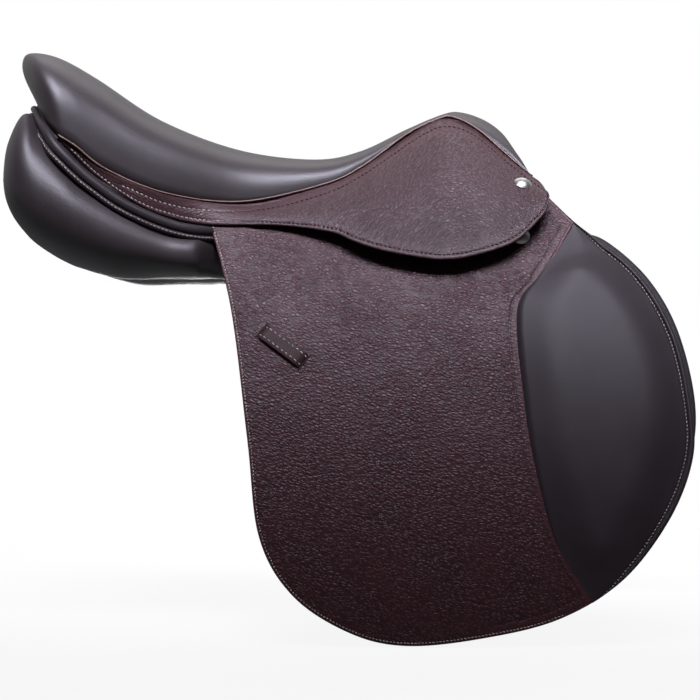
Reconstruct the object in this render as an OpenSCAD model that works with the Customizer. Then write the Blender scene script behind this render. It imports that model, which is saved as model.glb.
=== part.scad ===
// Jumping saddle, +X forward, +Y to the rider's left, +Z up, millimetres.
// Each side piece is drawn on the off side (-Y) and mirrored for the near side.

/* [Barrel under the side leathers] */
// Radius of the horse's barrel, where the sweat flap's inner face lies
barrel_r = 668; // [640:1:700]
// Half width across the sweat flaps' inner faces, at the origin's height
waist = 126.85; // [120:0.05:134]
// Height of the barrel's axis
barrel_z = -300; // [-310:1:-292]

/* [Leather] */
// Thickness of the sweat flap
sweat_t = 3.5; // [2.5:0.1:4.5]
// Thickness of a girth strap
strap_t = 4.5; // [3.5:0.1:5]
// Thickness of the flap's backing
backing_t = 2; // [1.5:0.1:3]
// Thickness of the flap's grained leather
flap_t = 2.4; // [1.8:0.1:3]
// Thickness of the skirt
skirt_t = 3.2; // [2.5:0.1:4]
// Thickness of the seat leather
cover_t = 2.5; // [1.5:0.1:3]
// Clearance on each face of a girth strap
strap_gap = 2.6; // [2:0.1:4]
// Clearance between pieces that lie on each other
seat_gap = 0.3; // [0.2:0.05:0.5]

/* [Seat] */
// Foam under the seat leather at the cantle
foam_cantle = 20; // [14:0.5:22]
// Foam under the seat leather at the pommel
foam_pommel = 7; // [5:0.5:8]
// How square the seat's section is, from 1 (an ellipse) down
seat_square = 0.85; // [0.8:0.01:1]
// Diameter of the welt between seat and skirt
welt_d = 2.8; // [2.4:0.1:4]
// Thickness of the wooden tree
tree_t = 8; // [6:0.5:9]
// Thickness of the steel head plate and spring steels
steel_t = 2.5; // [1.5:0.1:3]

/* [Flap] */
// Height of the line where the flap bends up
hinge_z = 12; // [8:0.5:14]
// Gap between the flap and the yoke it hangs from
hinge_gap = 0.5; // [0.4:0.1:0.8]
// Height of the padded insert above its backing
insert_h = 9; // [6:0.5:11]
// Greatest thickness of the knee and thigh blocks
block_t = 8; // [6:0.5:8.5]

/* [Girth straps] */
// Width of a girth strap
strap_w = 25; // [22:0.5:28]
// Distance between neighbouring girth straps
strap_pitch = 42; // [40:0.5:44]
// Place of the middle girth strap along the saddle
strap_x = 98; // [94:0.5:102]
// Height of the girth straps' stitched tops
strap_top = 26; // [22:0.5:28]
// Height of the girth straps' points
strap_end = -222; // [-230:1:-205]
// Diameter of a buckle hole
hole_d = 5; // [4:0.1:6]
// Distance between buckle holes
hole_pitch = 25; // [22:0.5:27]
// Buckle holes in one strap
hole_n = 7; // [4:1:7]

/* [Stirrup bar] */
// Place of the bar's root along the saddle
bar_x = 156; // [152:0.5:160]
// Height of the bar
bar_z = 54; // [52:0.5:56]
// Length of the bar behind its root
bar_l = 56; // [48:0.5:62]
// Height of the bar's section
bar_h = 12; // [10:0.5:13]
// Thickness of the bar's section
bar_t = 6; // [5:0.1:7]
// Room between the flap and the bar for a stirrup leather
bar_room = 7; // [6:0.1:9]
// Diameter of the catch's hinge pin
pin_d = 3; // [2:0.1:3.4]
// Radial clearance of the catch on its pin
pin_gap = 0.3; // [0.2:0.05:0.4]

/* [Strap keeper] */
// Length of the keeper along its own strap
keeper_l = 44; // [36:1:50]
// Width of the keeper's strap
keeper_w = 14; // [10:0.5:16]
// Room under the keeper for a stirrup leather's end
keeper_room = 6; // [5:0.5:9]
// Thickness of the keeper's strap
keeper_t = 2.6; // [2:0.1:4]

/* [Studs] */
// Diameter of a nail head
stud_d = 15; // [10:0.5:17]
// Height of a nail head's dome
stud_h = 3.2; // [2:0.1:4]

/* [Hidden] */
$fn = 48;
shell_fn = 240;

leather = [0.20, 0.13, 0.13];
smooth_leather = [0.15, 0.12, 0.12];
steel = [0.75, 0.75, 0.76];

// Distance from the centre line to the barrel's axis on the far side
barrel_y = sqrt(pow(barrel_r, 2) - pow(barrel_z, 2)) - waist;
// Radius, axis height and half width of the barrel on which the tables below were measured
drawn_r = 668;
drawn_z = -300;
drawn_waist = 126.85;

// Radial places of the layers, counted out from the sweat flap's inner face
strap_in = sweat_t + strap_gap;
strap_out = strap_in + strap_t;
backing_in = strap_out + strap_gap;
flap_in = backing_in + backing_t;
flap_out = flap_in + flap_t;
bar_in = flap_out + bar_room;
bar_out = bar_in + bar_t;
skirt_in = bar_out + 3;
skirt_top_in = flap_out - 5;

// Seat stations: centre line x and z, then the welt's x, half width and z
seat_marks = [
  [-238, 159, -236, 26, 157], [-249, 185, -229, 78, 153], [-249, 200, -218, 116, 136],
  [-239, 205, -205, 136, 121], [-213, 199, -190, 138, 111], [-181, 181, -165, 134, 92],
  [-126, 145, -117, 125, 73], [-61, 121, -56, 107, 67], [4, 112, 12, 95, 82],
  [45, 119, 45, 84, 98], [85, 138, 83, 62, 127], [119, 152, 108, 50, 140],
  [133, 153, 122, 48, 143], [152, 147, 144, 60, 131], [167, 137, 174, 81, 102],
  [174, 126, 192, 93, 85]];
// Tree stations, in the same order, with the points of the head last
tree_marks = [
  [-235, 167, -222, 40, 142], [-229, 172, -212, 84, 130], [-222, 174, -198, 106, 113],
  [-200, 164, -182, 110, 101], [-165, 140, -152, 106, 82], [-110, 112, -105, 96, 60],
  [-50, 92, -50, 82, 54], [10, 87, 15, 74, 58], [60, 101, 60, 62, 70], [95, 119, 100, 70, 56],
  [125, 130, 132, 84, 32], [150, 125, 160, 92, 12], [161, 119, 174, 105, -6]];
// Skirt stations: top edge x and z, lower edge x and z, and how far the lower edge stands off (0 to 1)
skirt_stations = [
  [-206, 121, -203, 118, 0.14], [-190, 109, -191, 105, 0.14], [-171, 94, -172, 87, 0.14],
  [-146, 82, -141, 66, 0.16], [-117, 71, -115, 55, 0.18], [-84, 66, -84, 49, 0.22],
  [-39, 66, -25, 48, 0.45], [12, 80, 19, 42, 0.8], [38, 92, 38, 34, 0.95], [63, 109, 63, 26, 1],
  [96, 132.5, 97, 20, 1], [116, 140.5, 114, 19, 1], [138, 134, 135, 22, 1], [163, 111.5, 168, 33, 1],
  [185, 91, 190, 53, 1], [192, 84, 196, 68, 1]];
// Panel stations: x, middle y and z of the section, half width, half height and roll
panel_marks = [
  [-255, 84, 90, 6, 8, 0], [-252.5, 85, 91, 22, 21, 0], [-248, 86, 93, 33, 33, 0],
  [-241, 88, 94, 42, 43, 0], [-235, 89, 92, 46, 44.5, 0], [-222, 91, 80, 51, 46, 0],
  [-196, 93, 62, 54, 46, 0], [-172, 94, 50, 55, 42, 0],
  [-151, 92, 40, 53, 37, 0], [-119, 87, 30, 50, 29, 2], [-91, 82, 28, 46, 26, 4],
  [-60, 71, 28, 37.5, 25, 8], [0, 64, 28, 36, 22, 18], [60, 60, 28, 38, 17, 36],
  [110, 66, 20, 46, 13, 50], [145, 76, 2, 50, 12, 57], [166, 86, -10, 42, 9, 60],
  [176, 90, -14, 26, 5, 62]];
// Cantle binding's middle line, from the rear centre to under the flap
binding_marks = [[-236.5, 0, 151.5], [-233.5, 58, 150], [-229, 86, 146.4], [-223.4, 110, 136.2],
  [-214.5, 134, 124.5], [-204, 145, 110], [-184, 147, 90], [-167, 146, 76.5], [-151, 144, 65.5],
  [-131, 141, 55.5], [-111, 137, 48], [-92, 133, 44], [-78, 128, 43]];
binding_d = 8.5;
// Share of that diameter round the rear, where the binding tucks under the seat's edge
binding_rear = 0.7;
facing_w = 4;
facing_t = 2;

// Outlines in side view, x and z
flap_points = [[-84, 60], [-62, -20], [-47, -126], [-37, -203], [-10, -249], [35, -278], [80, -288],
  [140, -282], [200, -267], [250, -237], [287, -191], [307, -145], [309, -105], [298, -43],
  [270, 9], [221, 51], [196, 76]];
yoke_top_points = [[196, 76], [150, 72], [60, 62], [-84, 60]];
insert_top_points = [[220, 48], [195, 9], [178, -13], [174, -40], [178, -90], [185, -141], [202, -208]];
insert_foot = 8.5;
sweat_front_points = [[200, 36], [248, 36], [281, 2], [302, -38], [313, -92], [310, -134], [292, -176],
  [262, -214], [214, -246], [140, -262], [70, -264], [10, -246], [-22, -206], [-34, -130], [-46, -50],
  [-58, 18], [-60, 36]];
knee_rear_points = [[214, -4], [206, -40], [214, -90], [226, -140], [244, -176]];
knee_front_points = [[262, -4], [284, -40], [294, -90], [288, -140], [262, -176]];
thigh_rear_points = [[-30, -96], [-28, -120], [-24, -150], [-16, -180]];
thigh_front_points = [[-8, -96], [-2, -120], [0, -150], [-4, -180]];

reach_z = function(z, off) sqrt(pow(barrel_r + off, 2) - pow(z - barrel_z, 2)) - barrel_y;

// How much further out the barrel lies at height z than the one the tables were measured on
spread = function(z) reach_z(z, 0) - sqrt(pow(drawn_r, 2) - pow(z - drawn_z, 2))
  + sqrt(pow(drawn_r, 2) - pow(drawn_z, 2)) - drawn_waist;
widened = function(st) [st[0], st[1], st[2], st[3] + spread(st[4]), st[4]];
seat_stations = [for (st = seat_marks) widened(st)];
tree_stations = [for (st = tree_marks) widened(st)];
panel_stations = [for (st = panel_marks) let (w = spread(st[2]), c = cos(st[5]))
  [st[0], st[1] + w * (1 - c / 2), st[2], st[3] + w / 2, st[4], st[5]]];
binding_line = [for (p = binding_marks) [p[0], p[1] > 0 ? p[1] + spread(p[2]) : 0, p[2]]];

tilt = function(z, off) asin((z - barrel_z) / (barrel_r + off));
flare = function(x) x < -50 ? 72 * pow((-x - 50) / 155, 1.3) : 0;

// Point at place u on the smooth open curve through points p
function at(p, u) = let (last = len(p) - 1, i = min(floor(u), last - 1), t = u - i,
    a = p[max(i - 1, 0)], b = p[i], c = p[i + 1], d = p[min(i + 2, last)])
  (2 * b + (c - a) * t + (2 * a - 5 * b + 4 * c - d) * t * t + (3 * b - a - 3 * c + d) * t * t * t) / 2;

// The same curve in n steps a span
function curve(p, n) = [for (k = [0:(len(p) - 1) * n]) at(p, k / n)];

// Sine or cosine c, fuller towards 1
plump = function(c, q) sign(c) * pow(abs(c), q);
// Point on an arched section from station st, s from -1 (off) to 1 (near), set in by d
function arch(st, s, d, q = 1) = let (a = 90 * s) [
  st[0] + (st[2] - st[0]) * (st[2] > st[0] ? 1 - cos(a) : pow(sin(a), 2)),
  (st[3] - d) * plump(sin(a), q),
  st[4] + (st[1] - d - st[4]) * plump(cos(a), q)];

// Point on the loft through stations at place u and share s, set in by d square to its face
function inset_arch(stations, u, s, d, q) = let (h = 0.05, last = len(stations) - 1,
    along = arch(at(stations, min(last, u + h)), s, 0, q) - arch(at(stations, max(0, u - h)), s, 0, q),
    across = arch(at(stations, u), s + h, 0, q) - arch(at(stations, u), s - h, 0, q),
    n = cross(along, across))
  arch(at(stations, u), s, 0, q) - d * n / norm(n);

// Ring of a shell on station st between insets d0 and d1, for s from s0 to s1
function arch_ring(st, s0, s1, d0, d1, n) = concat(
  [for (k = [0:n]) arch(st, s0 + (s1 - s0) * k / n, d0)],
  [for (k = [n:-1:0]) arch(st, s0 + (s1 - s0) * k / n, d1)]);

// Level and rising directions across line p at point i
function across_line(p, i) = let (
    t = p[min(i + 1, len(p) - 1)] - p[max(i - 1, 0)],
    u = cross(t, [0, 0, 1]) / norm(cross(t, [0, 0, 1])))
  [u, cross(u, t) / norm(t)];

// Section of a tube of radius r at point i of line p
function tube_ring(p, i, r, n) = let (d = across_line(p, i))
  [for (k = [0:n - 1]) p[i] + r * (cos(360 * k / n) * d[0] + sin(360 * k / n) * d[1])];

// Closed solid through rings that have the same even number of points, first half one face, then back;
// turned for rings that run the other way round
module skin(rings, turned = false) {
  n = len(rings[0]);
  m = len(rings);
  far = (m - 1) * n;
  points = [for (ring = rings) each ring];
  sides = [for (i = [0:m - 2], j = [0:n - 1]) let (a = i * n + j, b = i * n + (j + 1) % n)
    each [[a, b, b + n], [a, b + n, a + n]]];
  caps = [for (j = [0:n / 2 - 2]) let (k = n - 1 - j)
    each [[j + 1, j, k], [j + 1, k, k - 1],
      [far + j, far + j + 1, far + k], [far + j + 1, far + k - 1, far + k]]];
  faces = [for (f = concat(sides, caps)) turned ? [f[2], f[1], f[0]] : f];
  polyhedron(points = points, faces = faces, convexity = 6);
}

module near() { mirror([0, 1, 0]) children(); }

// Places children on the off side at x and z, off millimetres out, with local +Z outwards and +X forward
module on_side(x, z, off) {
  translate([x, -reach_z(z, off), z]) rotate([90 - tilt(z, off), 0, 0]) children();
}

// Part of the barrel's shell between two offsets
module shell(off0, off1) {
  x0 = -120;
  length = 460;
  translate([x0, barrel_y, barrel_z]) rotate([0, 90, 0]) difference() {
    cylinder(r = barrel_r + off1, h = length, $fn = shell_fn);
    translate([0, 0, -1]) cylinder(r = barrel_r + off0, h = length + 2, $fn = shell_fn);
  }
}

// Leather cut to an outline in side view and laid on the barrel
module sheet(outline, off0, off1) {
  intersection() {
    shell(off0, off1);
    rotate([90, 0, 0]) linear_extrude(height = 300) polygon(outline);
  }
}

// Edge of the grained leather over the insert, down to the flap's own edge
function insert_points() = concat(insert_top_points, [at(flap_points, insert_foot)]);
function flap_outline() = concat(curve(flap_points, 4), curve(yoke_top_points, 3));

// Keeps what lies below (or above) the line where the flap bends
module side_block(z) { translate([-barrel_r, -barrel_r, z]) cube([2 * barrel_r, barrel_r, barrel_r]); }
module below_hinge() {
  intersection() { children(); side_block(hinge_z - barrel_r); }
}
module above_hinge() {
  intersection() { children(); side_block(hinge_z + hinge_gap); }
}

module seat_cover() {
  last = len(seat_stations) - 1;
  shares = [for (k = [-6:6]) k / 6];
  color(smooth_leather) skin([for (u = [0:0.5:last]) concat(
    [for (s = shares) inset_arch(seat_stations, u, s, 0, seat_square)],
    [for (s = shares) inset_arch(seat_stations, u, -s, cover_t, seat_square)])]);
}

module seat_foam() {
  last = len(seat_stations) - 1;
  first = 3.5;
  edge_t = 1;
  shares = [for (k = [-6:6]) k / 6];
  color("wheat") skin([for (u = [first:0.5:last]) let (
      d = cover_t + seat_gap,
      depth = foam_cantle + (foam_pommel - foam_cantle) * min(1, (u - first) / 8))
    concat([for (s = shares) inset_arch(seat_stations, u, -s, d, seat_square)],
      [for (s = shares) inset_arch(seat_stations, u, s, d, seat_square)
        - [0, 0, edge_t + (depth - edge_t) * plump(cos(90 * s), seat_square)]])], turned = true);
}

// Strip of the tree's shell from place u0 to u1 along it
module tree_strip(u0, u1, s0, s1, d0, d1, n) {
  steps = ceil((u1 - u0) * 2);
  skin([for (k = [0:steps])
    arch_ring(at(tree_stations, u0 + (u1 - u0) * k / steps), s0, s1, d0, d1, n)]);
}

// Places along the tree where the rails meet the cantle and the head
rail_start = 4;
rail_end = 8;
rail_joint = 0.006;

module tree_cantle() { color("burlywood") tree_strip(0, rail_start, -1, 1, 0, tree_t, 24); }
module tree_head() {
  color("burlywood") tree_strip(rail_end, len(tree_stations) - 1, -1, 1, 0, tree_t, 24);
}
module tree_rail() {
  color("burlywood") tree_strip(rail_start + rail_joint, rail_end - rail_joint, -1, -0.5, 0, tree_t, 6);
}

module head_plate() {
  first = tree_t + 2 * seat_gap;
  color(steel) tree_strip(10, 11, -5 / 6, 5 / 6, first, first + steel_t, 20);
}

module spring_steel() {
  first = tree_t + 2 * seat_gap;
  color(steel) tree_strip(3, 9, -3 / 4, -7 / 12, first, first + steel_t, 2);
}

// Where the webs begin and end along the saddle, from the straps they carry
web_edge = 1.5;
web_rear = strap_x - strap_pitch - strap_w / 2 - web_edge;
web_mid = strap_x - strap_w / 2 - web_edge;
web_front = strap_x + strap_pitch - 4;

// Web over the tree from x0 to x1, down behind the girth straps' tops on both sides
module girth_web(x0, x1) {
  web_t = 1.8;
  foot = strap_top - strap_w / 2;
  out = strap_in - 1.3 * seat_gap;
  crown = function(x) 6.5 + lookup(x, [for (st = tree_stations) [st[0], st[1]]]);
  shoulder = function(x) 89 + 0.45 * max(0, x - 90);
  tree_edge = function(x) lookup(x, [for (st = tree_stations) [st[2], st[4]]]);
  half = function(x, d) curve([[0, crown(x) - d], [34, crown(x) - 5 - d],
    [62 + spread(tree_edge(x)) - d / 2, shoulder(x) - d],
    [reach_z(54, out - d), 54], [reach_z(36, out - d), 36], [reach_z(foot, out - d), foot]], 2);
  face = function(x, d) let (h = half(x, d), last = len(h) - 1)
    concat([for (i = [last:-1:1]) [x, -h[i][0], h[i][1]]], [for (p = h) [x, p[0], p[1]]]);
  color("tan") skin([for (x = [x0, (x0 + x1) / 2, x1])
    let (inner = face(x, web_t)) concat(face(x, 0), [for (k = [len(inner) - 1:-1:0]) inner[k]])]);
}

module welt() {
  line = [for (st = curve(seat_stations, 3)) if (st[2] > -205)
    [st[2], -st[3] - welt_d / 2 - seat_gap, st[4] + welt_d / 2]];
  color([0.32, 0.2, 0.17]) skin([for (i = [0:len(line) - 1]) tube_ring(line, i, welt_d / 2, 6)]);
}

// Point on the skirt, v from its top edge (0) to its lower edge (1), d out from its inner face
function skirt_point(st, v, d) = let (x = st[0] + (st[2] - st[0]) * v, z = st[1] + (st[3] - st[1]) * v,
    off = skirt_top_in + (skirt_in - skirt_top_in) * st[4] * pow(sin(90 * v), 0.7))
  [x, -reach_z(z, off + d) - flare(x), z];

module skirt() {
  rows = 5;
  color(leather) skin([for (st = curve(skirt_stations, 2))
    concat([for (k = [0:rows]) skirt_point(st, k / rows, 0)],
      [for (k = [rows:-1:0]) skirt_point(st, k / rows, skirt_t)])]);
}

module stud() {
  sphere_r = (stud_d * stud_d / 4 + stud_h * stud_h) / (2 * stud_h);
  color(steel) intersection() {
    translate([0, 0, stud_h - sphere_r]) sphere(r = sphere_r);
    cylinder(d = stud_d + 2, h = stud_h + 1);
  }
}

// Nail head on the skirt below the pommel, square to the leather
module pommel_stud() {
  u = 13.6;
  v = 0.26;
  step = 0.1;
  d = skirt_t + seat_gap / 3;
  p = skirt_point(at(skirt_stations, u), v, d);
  along = skirt_point(at(skirt_stations, u + step), v, d) - skirt_point(at(skirt_stations, u - step), v, d);
  down = skirt_point(at(skirt_stations, u), v + step, d) - skirt_point(at(skirt_stations, u), v - step, d);
  n = cross(down, along) / norm(cross(down, along));
  translate(p) rotate([0, acos(n[2]), atan2(n[1], n[0])]) stud();
}
module yoke_stud() { on_side(175.7, 39.4, flap_out + seat_gap / 3) stud(); }

module flap_yoke() {
  slot_gap = 2.5;
  color(leather) difference() {
    above_hinge() sheet(flap_outline(), backing_in, flap_out);
    bar_frame() translate([0, 0, flap_in - bar_in])
      cube([bar_h + 2 * slot_gap, bar_h + 2 * slot_gap, 30], center = true);
  }
}

module flap_backing() {
  color(smooth_leather) below_hinge() sheet(flap_outline(), backing_in, flap_in);
}

// Grained leather, cut away in front along the insert
module flap() {
  edge = curve(insert_points(), 4);
  grained = concat([for (k = [0:insert_foot * 4 - 1]) at(flap_points, k / 4)],
    [for (i = [len(edge) - 1:-1:0]) edge[i]]);
  color(leather) below_hinge() sheet(grained, flap_in, flap_out);
}

// Padded insert: level rows from the grained leather's edge to the flap's front edge
module flap_insert() {
  rear = curve(insert_points(), 8);
  front = [for (k = [insert_foot * 8:15 * 8]) at(flap_points, k / 8)];
  at_z = function(line, z) lookup(z, [for (p = line) [p[1], p[0]]]);
  rows = 22;
  across = 7;
  top = hinge_z - hinge_gap;
  bottom = insert_points()[7][1];
  edge = 1;
  ring_of = function(z) let (x0 = at_z(rear, z) + edge, x1 = at_z(front, z) - edge)
    concat([for (k = [0:across]) [x0 + (x1 - x0) * k / across, -reach_z(z, flap_in + 0.05), z]],
      [for (k = [across:-1:0]) let (u = k / across, lift = pow(sin(180 * u), 0.6) * min(1, (z - bottom) / 60))
        [x0 + (x1 - x0) * u, -reach_z(z, flap_in + 0.6 + (insert_h - 0.6) * lift), z]]);
  color(smooth_leather) skin([for (i = [rows:-1:0]) ring_of(top + (bottom + 2 - top) * i / rows)]);
}

module strap_keeper() {
  half = keeper_l / 2;
  rise = function(u, h) h * (1 - pow(abs(u), 8));
  outer = keeper_room + keeper_t;
  color(leather) on_side(-19, -51.5, flap_out + 0.05) rotate([0, 0, -38.5]) rotate([90, 0, 0])
    linear_extrude(height = keeper_w, center = true)
      polygon(concat([for (k = [-10:10]) [half * k / 10, rise(k / 10, outer)]],
        [for (k = [10:-1:-10]) [(half - keeper_t) * k / 10, rise(k / 10, keeper_room)]]));
}

module sweat_flap() {
  color(smooth_leather) sheet(curve(sweat_front_points, 4), 0, sweat_t);
}

// Pad on the sweat flap between a rear and a front edge
module block(rear_points, front_points) {
  rear = curve(rear_points, 3);
  front = curve(front_points, 3);
  last = len(rear) - 1;
  across = 6;
  base = sweat_t + seat_gap / 3;
  ring_of = function(i) let (swell = 0.3 + 0.7 * sin(180 * i / last))
    concat([for (k = [0:across]) let (p = rear[i] + (front[i] - rear[i]) * k / across)
        [p[0], -reach_z(p[1], base), p[1]]],
      [for (k = [across:-1:0]) let (u = k / across, p = rear[i] + (front[i] - rear[i]) * u)
        [p[0], -reach_z(p[1], base + 0.8 + (block_t - 0.8) * swell * pow(sin(180 * u), 0.5)), p[1]]]);
  color([0.1, 0.08, 0.08]) skin([for (i = [last:-1:0]) ring_of(i)]);
}

// Girth strap at place x, with a pointed end and buckle holes
module girth_strap(x) {
  point_l = 16;
  r = strap_w / 2;
  outline = concat([for (a = [180:-15:0]) [x + r * cos(a), strap_top - r + r * sin(a)]],
    [[x + r, strap_end + point_l], [x, strap_end], [x - r, strap_end + point_l]]);
  first_hole = strap_end + 46;
  color(leather) difference() {
    sheet(outline, strap_in, strap_out);
    for (k = [0:hole_n - 1])
      on_side(x, first_hole + k * hole_pitch, strap_in + strap_t / 2)
        cylinder(d = hole_d, h = strap_t + 4, center = true);
  }
}

// Frame of the stirrup bar: at its root, +Z outwards from the bar's inner face, the bar along -X
module bar_frame() { on_side(bar_x, bar_z, bar_in) children(); }

plate_t = 3;
plate_l = 50;
plate_h = 18;
plate_in = -35.4;
rivet_d = 4;
rivet_edge = 8;
rivet_pitch = 16;
rivet_places = [for (k = [0, 1]) bar_h / 2 - plate_l + rivet_edge + k * rivet_pitch];
fork_l = 12;
fork_gap = 0.3;
hinge_x = -bar_l + 6;
catch_t = bar_t / 3;
catch_l = 20;
cheek_t = (bar_t - catch_t) / 2 - fork_gap;

// Plate on the tree, arm outwards, bar to the rear with a forked end
module stirrup_bar() {
  color(steel) bar_frame() difference() {
    union() {
      translate([-plate_l + bar_h / 2, -plate_h / 2, plate_in]) cube([plate_l, plate_h, plate_t]);
      translate([-bar_h / 2, -bar_h / 2, plate_in]) cube([bar_h, bar_h, bar_t - plate_in]);
      translate([-bar_l, -(bar_h - bar_t) / 2, 0]) cube([bar_l, bar_h - bar_t, bar_t]);
      for (y = [-1, 1]) translate([-bar_l, y * (bar_h - bar_t) / 2, bar_t / 2])
        rotate([0, 90, 0]) cylinder(d = bar_t, h = bar_l);
    }
    translate([-bar_l - 1, -bar_h, cheek_t]) cube([fork_l + 1, 2 * bar_h, bar_t - 2 * cheek_t]);
    translate([hinge_x, 0, -1]) cylinder(d = pin_d, h = bar_t + 2);
    for (x = rivet_places) translate([x, 0, plate_in - 1]) cylinder(d = rivet_d, h = plate_t + 2);
  }
}

module bar_catch() {
  color(steel) bar_frame() translate([hinge_x, 0, cheek_t + fork_gap]) difference() {
    union() {
      cylinder(d = bar_h - 2, h = catch_t);
      translate([-catch_l, -3, 0]) cube([catch_l, 6, catch_t]);
      translate([-catch_l, 0, 0]) cylinder(d = 9, h = catch_t);
    }
    translate([0, 0, -1]) cylinder(d = pin_d + 2 * pin_gap, h = catch_t + 2);
  }
}

module catch_pin() {
  color(steel) bar_frame() translate([hinge_x, 0, 0]) cylinder(d = pin_d, h = bar_t);
}

// Rivets that hold both stirrup bars to the tree
module bar_rivets() {
  head_d = 8;
  head_t = 1.5;
  color(steel) for (side = [0, 1]) mirror([0, side, 0]) bar_frame()
    for (x = rivet_places) translate([x, 0, plate_in]) {
      cylinder(d = rivet_d, h = plate_t);
      translate([0, 0, plate_t]) cylinder(d = head_d, h = head_t);
    }
}

// Thin leather under the tree that joins the two cushions
module gullet_lining() {
  first = tree_t + steel_t + 4 * seat_gap;
  color(smooth_leather) tree_strip(1, 11.5, -0.62, 0.62, first, first + 1.2, 8);
}

// Flocked cushion of rounded sections
module panel() {
  points = 16;
  soften = function(c) sign(c) * pow(abs(c), 0.75);
  ring_of = function(st) [for (k = [0:points - 1]) let (
      u = st[3] * soften(cos(360 * k / points)), v = st[4] * soften(sin(360 * k / points)))
    [st[0], -st[1] - u * cos(st[5]) - v * sin(st[5]), st[2] - u * sin(st[5]) + v * cos(st[5])]];
  color(smooth_leather) skin([for (st = curve(panel_stations, 2)) ring_of(st)]);
}

// Radius of the binding at point p of its line
function binding_r(p) = binding_d / 2 * lookup(abs(p[1]), [[100, binding_rear], [132, 1]]);

// Rounded binding round the cantle, from under one flap to under the other
module cantle_binding() {
  half = curve(binding_line, 3);
  far = [for (i = [len(half) - 1:-1:1]) [half[i][0], -half[i][1], half[i][2]]];
  line = concat(far, half);
  color(smooth_leather) skin([for (i = [0:len(line) - 1]) tube_ring(line, i, binding_r(line[i]), 8)]);
}

// Stitched facing strip below the binding
module panel_facing() {
  line = [for (p = curve(binding_line, 2)) if (p[1] > 5) [p[0], -p[1], p[2]]];
  color(leather) skin([for (i = [0:len(line) - 1]) let (d = across_line(line, i),
      p = line[i] - (binding_r(line[i]) + seat_gap) * d[1] + 1.5 * d[0],
      q = p - facing_w * d[1], out = facing_t * d[0])
    [q, q + out, p + out, p]]);
}

tree_head();
tree_rail();  // tree_rail_off
near() tree_rail();  // tree_rail_near
tree_cantle();
head_plate();
spring_steel();  // spring_steel_off
near() spring_steel();  // spring_steel_near
girth_web(web_mid, web_front);  // girth_web_front
girth_web(web_rear, web_rear + strap_w + 2 * web_edge);  // girth_web_rear
seat_foam();
seat_cover();
welt();  // welt_off
near() welt();  // welt_near
skirt();  // skirt_off
near() skirt();  // skirt_near
pommel_stud();  // pommel_stud_off
near() pommel_stud();  // pommel_stud_near
flap_yoke();  // flap_yoke_off
near() flap_yoke();  // flap_yoke_near
yoke_stud();  // yoke_stud_off
near() yoke_stud();  // yoke_stud_near
flap_backing();  // flap_backing_off
near() flap_backing();  // flap_backing_near
flap();  // flap_off
near() flap();  // flap_near
flap_insert();  // flap_insert_off
near() flap_insert();  // flap_insert_near
strap_keeper();  // strap_keeper_off
near() strap_keeper();  // strap_keeper_near
sweat_flap();  // sweat_flap_off
near() sweat_flap();  // sweat_flap_near
block(knee_rear_points, knee_front_points);  // knee_block_off
near() block(knee_rear_points, knee_front_points);  // knee_block_near
block(thigh_rear_points, thigh_front_points);  // thigh_block_off
near() block(thigh_rear_points, thigh_front_points);  // thigh_block_near
girth_strap(strap_x + strap_pitch);  // girth_strap_front_off
girth_strap(strap_x);  // girth_strap_mid_off
girth_strap(strap_x - strap_pitch);  // girth_strap_rear_off
near() girth_strap(strap_x + strap_pitch);  // girth_strap_front_near
near() girth_strap(strap_x);  // girth_strap_mid_near
near() girth_strap(strap_x - strap_pitch);  // girth_strap_rear_near
stirrup_bar();  // stirrup_bar_off
near() stirrup_bar();  // stirrup_bar_near
bar_catch();  // bar_catch_off
near() bar_catch();  // bar_catch_near
catch_pin();  // catch_pin_off
near() catch_pin();  // catch_pin_near
bar_rivets();
panel();  // panel_off
near() panel();  // panel_near
gullet_lining();
cantle_binding();
panel_facing();  // panel_facing_off
near() panel_facing();  // panel_facing_near
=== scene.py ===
"""Jumping saddle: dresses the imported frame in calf, grained hide, thread and metal."""

from __future__ import annotations

import logging
import math
from dataclasses import dataclass
from enum import Enum
from typing import Callable, Sequence, Union

import bmesh
import bpy
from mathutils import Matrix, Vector

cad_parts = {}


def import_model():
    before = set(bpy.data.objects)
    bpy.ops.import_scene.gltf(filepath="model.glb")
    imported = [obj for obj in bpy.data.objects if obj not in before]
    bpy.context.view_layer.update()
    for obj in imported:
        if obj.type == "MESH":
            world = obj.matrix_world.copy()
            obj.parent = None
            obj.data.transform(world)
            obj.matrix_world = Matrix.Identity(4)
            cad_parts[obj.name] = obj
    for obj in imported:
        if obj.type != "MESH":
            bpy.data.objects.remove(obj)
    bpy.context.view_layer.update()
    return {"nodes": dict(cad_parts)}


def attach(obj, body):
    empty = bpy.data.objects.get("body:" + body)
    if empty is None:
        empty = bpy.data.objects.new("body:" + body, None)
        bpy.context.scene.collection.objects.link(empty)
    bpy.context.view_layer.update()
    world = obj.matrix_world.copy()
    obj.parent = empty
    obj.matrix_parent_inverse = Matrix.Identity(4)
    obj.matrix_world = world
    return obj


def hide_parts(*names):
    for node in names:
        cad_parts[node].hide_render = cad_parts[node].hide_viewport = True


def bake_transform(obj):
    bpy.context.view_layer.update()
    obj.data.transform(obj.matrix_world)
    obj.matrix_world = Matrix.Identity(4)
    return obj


LOG = logging.getLogger("saddle")
MM = 0.001
UP = Vector((0, 0, 1))
FACE, EDGE, BACK, TOOLED = range(4)
Pair = tuple[float, float]
Pairs = tuple[Pair, ...]
Point = tuple[float, ...]
Points = tuple[Point, ...]
Colour = tuple[float, float, float]
Value = Union["Sock", int, float]
Piece = bpy.types.Object
Material = bpy.types.Material
Materials = Sequence[Material]
Rows = Sequence[Sequence[Vector]]
Flats = Sequence[Sequence[Pair]]


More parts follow.
